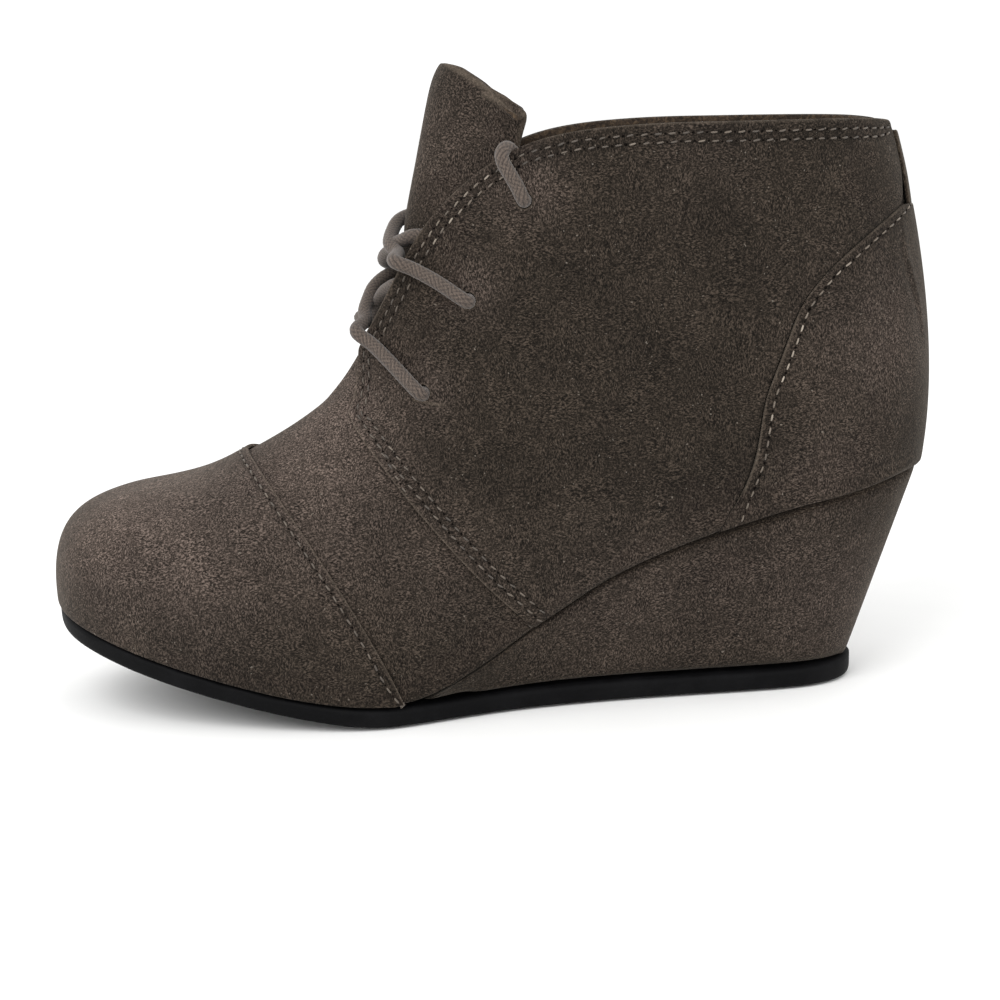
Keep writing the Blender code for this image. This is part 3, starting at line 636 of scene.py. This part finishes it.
def free_runs(chains, others, clearance=SEAM_CLEARANCE):
    """The stretches of a panel's edge that don't meet the sole, as plain lines."""
    runs = []
    for chain in chains:
        run = []
        for spot, normal, inward in chain:
            if others is None or others.find_nearest(spot)[3] > clearance * MM:
                run.append(spot)
            else:
                runs.append(run)
                run = []
        runs.append(run)
    return [run for run in runs if len(run) > 1]


def fold_over(piece, runs, rise, sink):
    """The lasted edge rolls over the wedge: a soft fold just above the line and a crack along it, darkened
    with painted shade.
    """
    away = distances(piece, runs, 4.0)
    co = read_points(piece.data.vertices, "co", 3)
    out = outward_all(co)
    facing = (read_points(piece.data.vertices, "normal", 3) * out).sum(1) > MOVED_FACE
    share = np.interp(co[:, 0] / MM, FOLD_PLACES, FOLD_SHARES)
    fold = rise * share * np.exp(-((away - FOLD_AWAY) / FOLD_WIDTH) ** 2)
    co += out * ((fold - sink * np.exp(-(away / CRACK_WIDTH) ** 2)) * facing * MM)[:, None]
    # Painted shade along the crack.
    crack = np.exp(-(away / CRACK_SHADE_WIDTH) ** 2)
    keep_values(piece, "painted_shade", np.maximum(values_of(piece, "painted_shade"), crack))
    write_points(piece, co)


def mark_edges(piece, runs, reach=0.5):
    """Notes how near each point lies to a raw cut edge."""
    if not runs:
        return
    away = distances(piece, runs, 3 * reach)
    values_of(piece, "raw_edge")
    keep_values(piece, "raw_edge", np.exp(-(away / reach) ** 2))


# Soft troughs and ridges: height and half width in millimetres, then the line that each follows.
CREASES = (
    (0.50, 1.2, ((92, -27, 56.6), (100, -26, 59.3), (109, -22, 61.5), (117.5, -16, 64), (123, -8.6, 65))),
    (-0.45, 2.6, ((90, -27, 53), (100, -26, 55.5), (110, -21.5, 58), (118, -15, 60.5), (123, -8, 61.5))),
    (-0.35, 2.6, ((67, -29.7, 53.9), (75, -29.4, 55), (83, -29, 56), (92, -26.7, 56.2))),
    (0.25, 0.9, ((87.5, -29.3, 72.5), (93, -28.5, 73), (98.8, -27, 73.9), (103.8, -25.4, 74.8))),
    (0.55, 0.8, ((117.3, -13.8, 132.2), (118.4, -14.2, 123.7), (122.2, -11.1, 109.9), (124.8, -8.5, 97.1))),
    (-0.30, 0.8, ((115.6, -15.3, 132), (116.8, -15.6, 123.5), (120.9, -12.9, 109.9), (123.8, -10.2, 97.1))),
    (0.55, 0.8, ((117.3, 17.4, 132.2), (118.4, 17.8, 123.7), (122.2, 14.7, 109.9), (124.8, 12.1, 97.1))),
    (-0.60, 9.0, ((43, -28.8, 130), (37.6, -28.7, 115), (32, -29, 101.7), (27.4, -29.4, 88))),
    (0.50, 8.0, ((24, -27, 128), (19, -28, 112), (13, -29, 97))),
    (-0.50, 8.0, ((78, -29, 150), (82, -28.8, 136), (90, -28, 124))),
    (0.35, 6.0, ((100, -24, 140), (104, -24, 125), (106, -24.5, 108))),
    (-0.40, 5.0, ((48, -30, 84), (60, -30, 78), (72, -30, 74))),
    (-0.35, 4.5, ((-42, -12, 78), (-36, -22, 68), (-30, -28, 56))),
    (0.30, 4.0, ((-47, -14, 73), (-41, -25, 62), (-35, -31, 50))),
    (-0.30, 3.5, ((-20, -33, 44), (-8, -35, 36), (2, -35, 28))),
    (-0.30, 6.0, ((-100, -10, 66), (-94, -24, 55), (-88, -34, 38))),
    (-0.55, 9.0, ((43, 32.4, 128), (37, 32.4, 113), (30, 32.6, 98))),
    (0.45, 8.0, ((24, 30.6, 126), (18, 31.6, 110), (12, 32.6, 94))),
    (-0.50, 8.0, ((80, 32.4, 148), (86, 32, 132), (94, 31, 118))),
    (0.40, 1.3, ((93, 30, 56.8), (104, 28, 60), (113, 23, 62.6), (120, 15, 64.4))),
    (-0.35, 5.0, ((50, 33.4, 82), (62, 33.4, 77), (74, 33.4, 73))),
    (-0.35, 4.5, ((-42, 15, 78), (-36, 25, 68), (-30, 31, 56))),
)

# Painted light with raised nap: where the suede is made paler, on both sides alike, for where the light falls
# on it and
# where its nap is raised, as spots: length and height of the place, its reach in millimetres, and a share.
PAINTED_LIGHT_AND_NAP_SPOTS = (
    (-103, 64, 25, 0.95), (-122, 42, 16, 0.35), (-82, 46, 24, 0.50), (-70, 74, 18, 0.55), (-46, 84, 22, 0.75),
    (-44, 56, 22, 0.36), (-12, 42, 18, 0.18), (14, 146, 9, 0.45), (-3, 119, 8, 0.45), (-16, 92, 8, 0.35),
    (110, 102, 22, 0.38), (94, 66, 14, 0.25), (36, 30, 24, 0.24), (70, 36, 20, 0.20), (100, 26, 20, 0.52),
    (-8, 158, 22, 0.30), (60, 157, 16, 0.12),
)


def hand_creases(piece):
    """Moves a piece's outer points by the troughs and ridges above, and notes each point's share of the
    painted light and raised nap spots.
    """
    co = read_points(piece.data.vertices, "co", 3) / MM
    normals = read_points(piece.data.vertices, "normal", 3)
    move = np.zeros(len(co))
    for height, width, line in CREASES:
        line = np.array(line, float)
        best = np.full(len(co), 1e9)
        along = np.zeros(len(co))
        count = len(line) - 1
        for k, (a, b) in enumerate(zip(line, line[1:])):
            t = np.clip(((co - a) @ (b - a)) / ((b - a) @ (b - a)), 0, 1)
            away = np.linalg.norm(co - (a + t[:, None] * (b - a)), axis=1)
            closer = away < best
            best[closer] = away[closer]
            along[closer] = (k + t[closer]) / count
        taper = np.sin(np.pi * np.clip(along, 0.02, 0.98)) ** 0.6
        move += height * taper * np.exp(-(best / width) ** 2)
    out = outward_all(co * MM)
    facing = (normals * out).sum(1) > MOVED_FACE
    co += out * (move * facing)[:, None]
    write_points(piece, co * MM)
    # Painted light with raised nap: each point's share of the paler spots.
    flat = np.ones(len(co))
    for along, height, reach, share in PAINTED_LIGHT_AND_NAP_SPOTS:
        away = np.hypot(co[:, 0] - along, co[:, 2] - height)
        flat *= 1 - share * np.exp(-(away / reach) ** 2)
    values_of(piece, "painted_light_and_nap")
    keep_values(piece, "painted_light_and_nap", 1 - flat)


def dress(piece, top=SUEDE, rim=EDGE, inside=None, others=None):
    """Gives a panel its outer face, its cut edge and, where it shows, its lining; lasted edges stay whole."""
    for material in (top, rim, inside or top):
        piece.data.materials.append(material)
    middles = read_points(piece.data.polygons, "center", 3)
    facing = (read_points(piece.data.polygons, "normal", 3) * outward_all(middles)).sum(1)
    index = np.where(facing > OUTER_FACE, 0, np.where(facing < -OUTER_FACE, 2, 1))
    if others:
        for i in np.flatnonzero(index == 1):
            if others.find_nearest(middles[i])[3] < LASTED * MM:
                index[i] = 0
    piece.data.polygons.foreach_set("material_index", index.astype(np.int32))


def finish_piece(piece, node):
    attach(piece, BODY)
    if node:
        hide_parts(node)
    return piece


def make_panel(node, name, times, others, insets, inside=None, raw=True, fold=None, reshape=None):
    """A cut panel: smoothed, creased along the listed lines, its edges marked and its sewn rows pressed in.
    """
    piece = copy_of(node, name)
    if reshape:
        reshape(piece)
    chains = rim_points(piece)
    lines = [line for inset in insets for line in seam_lines(chains, inset, others)]
    crease_rims(piece)
    smooth_out(piece, times)
    dress(piece, inside=inside, others=others)
    values_of(piece, "painted_shade")
    mark_edges(piece, free_runs(chains, others) if raw else ())
    hand_creases(piece)
    press_rows(piece, lines)
    if fold:
        fold_over(piece, *fold)
    finish_piece(piece, node)
    return piece, lines, chains


def draw_tip_out(piece):
    """The wedge's thin tip reaches in under the corner of the toe cap."""
    front = min(v.co.x for v in piece.data.vertices)
    for vert in piece.data.vertices:
        if vert.co.x < front + 0.5 * MM:
            vert.co.x -= 3.6 * MM


def tuck_strip_in(piece):
    """The back strip stands off the seam a little and runs in under the top of the counter."""
    low = min(v.co.z for v in piece.data.vertices)
    for vert in piece.data.vertices:
        vert.co.x += 0.7 * MM
        if vert.co.z < low + 1.5 * MM:
            vert.co.z -= 1.6 * MM
            vert.co.x -= 0.3 * MM


solids = frame["nodes"]
sole_side = surface_of(solids["outsole"], solids["wedge"], solids["counter"], solids["back_strip"])
sole_only = surface_of(solids["outsole"], solids["wedge"], solids["back_strip"])

cover, _, cover_rim = make_panel("wedge", "wedge_cover_suede", 3, None, (), raw=False, reshape=draw_tip_out)
FEATHER = [[c[0] for c in chain if c[0].z > 8.0 * MM] for chain in cover_rim]
FEATHER = [run for run in FEATHER if len(run) > 2]
fold_over(cover, FEATHER, 0.0, 0.35)
toe, toe_rows, toe_rim = make_panel("toe_cap", "toe_cap_suede", 3, sole_only, (SINGLE_ROW_INSET,))
counter, counter_rows, counter_rim = make_panel("counter", "heel_counter_suede", 3, sole_only,
                                                (SINGLE_ROW_INSET,), fold=(FEATHER, 0.2, 0.15))
make_panel("back_strip", "back_strip_suede", 3, None, (), reshape=tuck_strip_in)
outer, outer_rows, outer_rim = make_panel("quarter_outer", "outer_quarter_suede", 3, sole_side,
                                          (ROW_INSET, SECOND_ROW_INSET), fold=(FEATHER, *SIDE_FOLD))
inner, inner_rows, inner_rim = make_panel("quarter_inner", "inner_quarter_suede", 3, sole_side,
                                          (ROW_INSET, SECOND_ROW_INSET), fold=(FEATHER, *SIDE_FOLD))
shell = make_panel("upper", "vamp_and_lining", 2, None, (), inside=FELT, raw=False,
                   fold=(FEATHER, *SIDE_FOLD))[0]

# The contact shadow that a panel's edge leaves on the one below it
press_rows(shell, free_runs(toe_rim + outer_rim + inner_rim, sole_side), 0.05, 0.8, 0.9)
for quarter in (outer, inner):
    press_rows(quarter, free_runs(counter_rim, sole_only), 0.10, 0.7, 0.9)


# Sewing

def joined(name, patterns, faces, material, values=None, value_name=None):
    """One mesh from many placed copies of a small pattern, with a named value for each copy."""
    mesh = bpy.data.meshes.new(name)
    points, sides = [], []
    for pattern in patterns:
        start = len(points)
        points += pattern
        sides += [[start + i for i in face] for face in faces]
    mesh.from_pydata(points, [], sides)
    mesh.update()
    piece = bpy.data.objects.new(name, mesh)
    bpy.context.scene.collection.objects.link(piece)
    mesh.materials.append(material)
    for face in mesh.polygons:
        face.use_smooth = True
    if values is not None:
        per = len(points) // len(patterns)
        layer = mesh.attributes.new(value_name, "FLOAT", "POINT")
        layer.data.foreach_set("value", np.repeat(np.array(values, np.float32), per))
    return piece


STITCH_SIDES = 6
STITCH_RINGS = ((-0.50, 0.35, -0.75), (-0.40, 0.85, -0.25), (-0.14, 1.0, 0.22), (0.14, 1.0, 0.22),
                (0.40, 0.85, -0.25), (0.50, 0.35, -0.75))


def stitch_pattern():
    """A plump stitch: rings of (along, girth, lift) in shares of its length and of the thread's radius."""
    radius = THREAD / 2 * MM
    points = []
    for along, girth, lift in STITCH_RINGS:
        for k in range(STITCH_SIDES):
            turn = 2 * math.pi * k / STITCH_SIDES
            points.append((along * STITCH_LENGTH * MM, math.cos(turn) * radius * girth,
                           (math.sin(turn) * girth + lift) * radius))
    faces = []
    for ring in range(len(STITCH_RINGS) - 1):
        for k in range(STITCH_SIDES):
            a = ring * STITCH_SIDES + k
            b = ring * STITCH_SIDES + (k + 1) % STITCH_SIDES
            faces.append((b, a, a + STITCH_SIDES, b + STITCH_SIDES))
    faces.append(tuple(range(STITCH_SIDES)))
    last = (len(STITCH_RINGS) - 1) * STITCH_SIDES
    faces.append(tuple(reversed(range(last, last + STITCH_SIDES))))
    return points, [tuple(reversed(f)) for f in faces]


PIT_SIDES = 8


def pit_pattern(sides=PIT_SIDES, across=NEEDLE_HOLE, height=0.09):
    """A small dome that, in the painted-shade material, reads as a hole in the nap."""
    radius = across / 2 * MM
    turns = [2 * math.pi * k / sides for k in range(sides)]
    points = [(math.cos(turn) * radius, math.sin(turn) * radius * 0.85, -0.05 * MM) for turn in turns]
    points.append((0, 0, height * MM))
    faces = [(k, (k + 1) % sides, sides) for k in range(sides)]
    return points, faces


def placed(pattern, middle, along, up, size=1.0):
    side = up.cross(along).normalized()
    along = side.cross(up).normalized()
    return [middle + (along * x + side * y + up * z) * size for x, y, z in pattern]


def skin_at(surface, point):
    """The nearest place on a surface and its normal, turned to look out of the boot."""
    spot, normal = surface.find_nearest(point)[:2]
    return spot, -normal if normal.dot(outward(spot)) < 0 else normal


def sew(name, piece, lines, pitch=STITCH_PITCH, brightness=0.5, slant=0.0, glint=NO_GLINT):
    """Stitches and needle holes along sewn lines, laid on a panel's finished surface; the holes are small
    domes of painted shade.
    """
    surface = surface_of(piece)
    stitch, stitch_faces = stitch_pattern()
    pit, pit_faces = pit_pattern()
    stitches, pits, thread_tones_and_glints = [], [], []
    for line in lines:
        count = max(1, round(length_of(line) / (pitch * MM)))
        marks = resample(line, length_of(line) / (2 * count))
        for k in range(1, len(marks) - 1):
            spot, normal = skin_at(surface, marks[k])
            along = (marks[k + 1] - marks[k - 1]).normalized()
            if k % 2:
                tilt = Matrix.Rotation(slant + random.uniform(-STITCH_SWAY, STITCH_SWAY), 3, normal)
                size = random.uniform(*STITCH_SIZES)
                stitches.append(placed(stitch, spot + normal * STITCH_LIFT * MM, tilt @ along, normal, size))
                away = math.hypot(spot.x / MM - glint[0], spot.z / MM - glint[1]) / glint[2]
                # Painted highlight: stitches near a glint place are made paler, on top of their random tone.
                tone_and_glint = random.gauss(brightness + glint[3] * math.exp(-away * away), SHADE_SPREAD)
                thread_tones_and_glints.append(min(1.0, max(0.0, tone_and_glint)))
            else:
                pits.append(placed(pit, spot, along, normal, random.uniform(*HOLE_SIZES)))
    thread = joined(name + "_stitches", stitches, stitch_faces, THREADS, thread_tones_and_glints, "tone_and_glint")
    holes = joined(name + "_needle_hole_shade", pits, pit_faces, HOLE_SHADE)
    finish_piece(thread, None)
    finish_piece(holes, None)


# Bar tacks and doubled stitches, listed, on the outer quarter
TACKS = [[place(*a), place(*b)] for a, b in (
    ((-29.5, -22.0, 75.2), (-22.2, -28.9, 63.2)),
    ((9.0, -33.8, 28.3), (12.6, -32.0, 24.6)),
    ((-19.4, -20.2, 88.0), (-15.6, -23.0, 88.6)),
)]

sew("toe_cap", toe, toe_rows, brightness=0.22)
sew("outer_quarter", outer, outer_rows + TACKS, brightness=0.20, slant=0.14, glint=TOP_GLINT)
sew("inner_quarter", inner, inner_rows, brightness=0.20, slant=-0.14, glint=TOP_GLINT)
sew("counter", counter, counter_rows, brightness=0.42, glint=HEEL_GLINT)


# Sole and sock

def make_outsole():
    piece = copy_of("outsole", "rubber_outsole")
    crease_rims(piece, sharp=50.0, strength=0.8)
    smooth_out(piece, 2)
    piece.data.materials.append(RUBBER)
    tread = values_of(piece, "tread")
    for i, vert in enumerate(piece.data.vertices):
        tread[i] = 1.0 if vert.normal.z < -0.9 else 0.0
    keep_values(piece, "tread", tread)
    return finish_piece(piece, "outsole")


def make_sock():
    piece = copy_of("insole", "sock_lining")
    crease_rims(piece)
    smooth_out(piece, 2)
    piece.data.materials.append(SOCK)
    return finish_piece(piece, "insole")


make_outsole()
make_sock()

# Lace routes in millimetres: out of an eyelet, over the tongue and under the other side's edge.
LOWER_FRONT = ((-15.4, -17.4, 89.9), (-16.6, -20.7, 90.4), (-18.0, -24.2, 91.0), (-24.6, -20.3, 97.9),
               (-30.4, -15.9, 103.5), (-35.1, -13.0, 107.2), (-32.8, -6.5, 109.3), (-33.1, -2.5, 111.6),
               (-32.2, 1.8, 114.3), (-30.6, 6.2, 117.4), (-27.1, 10.7, 120.0), (-22.5, 14.0, 121.1),
               (-17.0, 15.4, 120.6))
LOWER_BACK = ((-15.4, 19.6, 89.9), (-16.7, 22.9, 90.3), (-18.0, 26.4, 90.8), (-25.0, 22.6, 98.5),
              (-31.1, 18.9, 104.7), (-35.8, 17.9, 107.3), (-31.3, 8.8, 108.2), (-30.3, 4.8, 110.9),
              (-29.3, 1.8, 113.3), (-27.6, -2.1, 116.4), (-25.6, -5.9, 118.2), (-22.8, -9.6, 119.5),
              (-17.5, -11.6, 119.2))
UPPER_FRONT = ((-2.6, -18.9, 115.6), (-3.3, -22.1, 115.8), (-4.2, -25.9, 116.0), (-11.4, -23.6, 120.9),
               (-18.2, -21.5, 124.7), (-23.3, -20.8, 127.0), (-22.6, -10.9, 128.1), (-25.0, -5.2, 130.4),
               (-24.6, 1.8, 133.1), (-22.9, 7.4, 135.8), (-19.6, 12.3, 137.1), (-14.6, 16.0, 138.2),
               (-8.5, 17.6, 138.0))
UPPER_BACK = ((-2.6, 21.7, 115.6), (-3.3, 24.9, 115.8), (-4.1, 28.6, 115.9), (-11.7, 26.5, 120.4),
              (-20.2, 23.5, 122.1), (-25.2, 22.2, 122.3), (-27.5, 12.3, 124.2), (-27.1, 7.3, 126.2),
              (-24.8, 1.8, 128.3), (-23.8, -3.0, 130.1), (-21.3, -7.4, 131.5), (-18.0, -10.7, 132.9),
              (-12.0, -12.8, 132.6))
OUTER_END = ((12.8, -23.7, 142.5), (12.3, -27.3, 142.9), (10.9, -27.3, 146.2), (9.1, -27.0, 149.5),
             (7.4, -26.4, 152.6), (7.0, -25.3, 155.2), (8.5, -23.0, 156.6), (10.6, -20.8, 154.4),
             (12.8, -20.2, 150.8), (15.6, -20.2, 147.4), (19.0, -20.6, 144.8), (23.0, -21.0, 142.8))
INNER_END = ((12.8, 26.9, 142.5), (12.3, 30.6, 142.9), (10.9, 30.7, 146.2), (9.1, 30.4, 149.5),
             (7.4, 29.8, 152.6), (7.0, 28.7, 155.2), (8.5, 26.4, 156.6), (10.6, 24.2, 154.4),
             (12.8, 23.6, 150.8), (15.6, 23.6, 147.4), (19.0, 24.0, 144.8), (23.0, 24.4, 142.8))


def smooth_route(points, step):
    """A smooth curve through a route's own points, at an even step."""
    knots = [place(*p) for p in points]
    knots = [knots[0] * 2 - knots[1]] + knots + [knots[-1] * 2 - knots[-2]]
    curve = []
    for a, b, c, d in zip(knots, knots[1:], knots[2:], knots[3:]):
        for k in range(16):
            t = k / 16
            curve.append(0.5 * (b * 2 + (c - a) * t + (a * 2 - b * 5 + c * 4 - d) * t * t
                                + (b * 3 - a - c * 3 + d) * t ** 3))
    curve.append(knots[-2])
    return relaxed(resample(curve, step * MM), 6)


def braid(name, routes):
    """Round braided cord along one or more routes: yarns pass over and under in diamonds."""
    points, faces, shares = [], [], []
    for route in routes:
        line = smooth_route(route, RING_STEP)
        tangent = (line[1] - line[0]).normalized()
        side = tangent.orthogonal().normalized()
        run = 0.0
        base = len(points)
        cell = math.pi * LACE / YARNS
        for k, middle in enumerate(line):
            ahead = (line[min(k + 1, len(line) - 1)] - line[max(k - 1, 0)]).normalized()
            side = (side - ahead * side.dot(ahead)).normalized()
            up = ahead.cross(side)
            run += (middle - line[k - 1]).length / MM if k else 0.0
            for j in range(RING_SIDES):
                turn = j / RING_SIDES
                right = turn * YARNS + run / cell
                left = turn * YARNS - run / cell
                over = (math.floor(right) + math.floor(left)) % 2
                crown_right = abs(math.sin(math.pi * (right % 1)))
                crown_left = abs(math.sin(math.pi * (left % 1)))
                high = max(crown_right * (1.0 if over else 0.35), crown_left * (0.35 if over else 1.0))
                radius = (LACE / 2 + LACE_RELIEF * (high - 0.6)) * MM
                angle = 2 * math.pi * turn
                points.append(middle + (side * math.cos(angle) + up * math.sin(angle)) * radius)
                shares.append(high)
        for k in range(len(line) - 1):
            for j in range(RING_SIDES):
                a = base + k * RING_SIDES + j
                b = base + k * RING_SIDES + (j + 1) % RING_SIDES
                faces.append((a, b, b + RING_SIDES, a + RING_SIDES))
        faces.append(tuple(reversed(range(base, base + RING_SIDES))))
        last = base + (len(line) - 1) * RING_SIDES
        faces.append(tuple(range(last, last + RING_SIDES)))
    mesh = bpy.data.meshes.new(name)
    mesh.from_pydata(points, [], faces)
    mesh.update()
    for face in mesh.polygons:
        face.use_smooth = len(face.vertices) == 4
    layer = mesh.attributes.new("yarn", "FLOAT", "POINT")
    layer.data.foreach_set("value", np.array(shares, np.float32))
    mesh.materials.append(COTTON)
    piece = bpy.data.objects.new(name, mesh)
    bpy.context.scene.collection.objects.link(piece)
    return piece


finish_piece(braid("lower_lace_crossing", (LOWER_FRONT, LOWER_BACK)), "lace_lower_crossing")
finish_piece(braid("upper_lace_crossing", (UPPER_FRONT, UPPER_BACK)), "lace_upper_crossing")
for end_name, end_node, end_route in (("outer_lace_end", "lace_end_outer", OUTER_END),
                                      ("inner_lace_end", "lace_end_inner", INNER_END)):
    end_piece = finish_piece(braid(end_name, (end_route,)), end_node)


def shade_eyelets():
    """Painted shadow: the punched holes show as dark crescents past the end of each strand, made as dark
    discs laid on the quarter.
    """
    pattern, faces = pit_pattern(sides=24, across=EYELET, height=0.15)
    spots = []
    for piece, routes in ((outer, (LOWER_FRONT, UPPER_FRONT, OUTER_END)),
                          (inner, (LOWER_BACK, UPPER_BACK, INNER_END))):
        surface = surface_of(piece)
        for route in routes:
            leave, turn = place(*route[1]), place(*route[3])
            strand = (turn - leave).normalized()
            spot, normal = skin_at(surface, leave)
            along = (strand - normal * strand.dot(normal)).normalized()
            spot, normal = skin_at(surface, spot - along * 0.9 * MM)
            spots.append(placed(pattern, spot + normal * 0.12 * MM, along, normal))
    finish_piece(joined("eyelet_hole_shade", spots, faces, HOLE_SHADE), None)


shade_eyelets()


TONGUE_TOP = ((0, 4, 8, 12, 15, 18, 20, 22), (-1.2, -0.8, 0.1, 1.3, 1.2, 0.2, -1.2, -2.2))


def make_tongue():
    """The tongue gives way under each lace, and its raw edge is marked for the pale cut-edge colour with its
    painted highlight.
    """
    piece = copy_of("tongue", "suede_tongue")
    chains = rim_points(piece)
    crease_rims(piece, strength=0.36)
    smooth_out(piece, 3)
    dress(piece, inside=FELT)
    co = read_points(piece.data.vertices, "co", 3) / MM
    share = np.clip((co[:, 2] - 148) / 15, 0, 1)
    co[:, 2] += share * np.interp(np.abs(co[:, 1] - ROOM_MIDDLE), *TONGUE_TOP)
    write_points(piece, co * MM)
    values_of(piece, "painted_shade")
    mark_edges(piece, free_runs(chains, None), reach=1.2)
    hand_creases(piece)
    routes = [smooth_route(r, 1.0) for r in (LOWER_FRONT, LOWER_BACK, UPPER_FRONT, UPPER_BACK,
                                             OUTER_END, INNER_END)]
    room = LACE / 2 + 0.1
    away = distances(piece, routes, 2 * room)
    push = np.maximum(room - away, 0) + 0.5 * np.maximum(1 - away / (2 * room), 0)
    co = read_points(piece.data.vertices, "co", 3)
    write_points(piece, co - outward_all(co) * (push * MM)[:, None])
    return finish_piece(piece, "tongue")


make_tongue()


# Floor, light and camera

def make_stage():
    drop_selection()
    bpy.ops.mesh.primitive_plane_add(size=12.0, location=(0, 0, 0))
    floor = bpy.context.object
    floor.name = "studio_floor"
    material, tree, shader, spot = start_material("matt_white_board")
    tree.links.new(ramp(tree, grains(tree, spot, 40.0), ((0.3, "#f4f4f3"), (0.7, "#f7f7f6"))),
                   shader.inputs["Base Color"])
    shader.inputs["Roughness"].default_value = 0.9
    floor.data.materials.append(material)
    world = bpy.data.worlds.new("studio")
    bpy.context.scene.world = world
    world.use_nodes = True
    sky = world.node_tree.nodes["Background"]
    sky.inputs["Color"].default_value = (1.0, 1.0, 1.0, 1.0)
    sky.inputs["Strength"].default_value = 1.12


def make_light(name, size, watts, spot, aim):
    light = bpy.data.lights.new(name, "AREA")
    light.size = size
    light.energy = watts
    lamp = bpy.data.objects.new(name, light)
    bpy.context.scene.collection.objects.link(lamp)
    lamp.location = spot
    lamp.rotation_euler = (Vector(aim) - Vector(spot)).to_track_quat("-Z", "Y").to_euler()


def make_camera():
    """The camera looks down by 12 degrees from the outer side and is rolled by 2 degrees."""
    down, roll = math.radians(12), math.radians(-2)
    ahead = Vector((0, math.cos(down), -math.sin(down)))
    level_up = Vector((0, math.sin(down), math.cos(down)))
    level_right = Vector((1, 0, 0))
    right = level_right * math.cos(roll) + level_up * math.sin(roll)
    up = level_up * math.cos(roll) - level_right * math.sin(roll)
    lens = bpy.data.cameras.new("camera")
    lens.lens = 74.23
    lens.sensor_width = 36.0
    camera = bpy.data.objects.new("camera", lens)
    bpy.context.scene.collection.objects.link(camera)
    turn = Matrix((right, up, -ahead)).transposed().to_4x4()
    camera.matrix_world = Matrix.Translation(place(3.31, -585.12, 179.30)) @ turn
    bpy.context.scene.camera = camera


make_stage()
make_light("key", 0.9, 9.0, (-0.55, -0.75, 0.95), (0, 0, 0.08))
make_light("fill", 1.2, 3.5, (0.9, -0.8, 0.5), (0, 0, 0.08))
make_camera()
bpy.context.scene.view_settings.view_transform = "Standard"
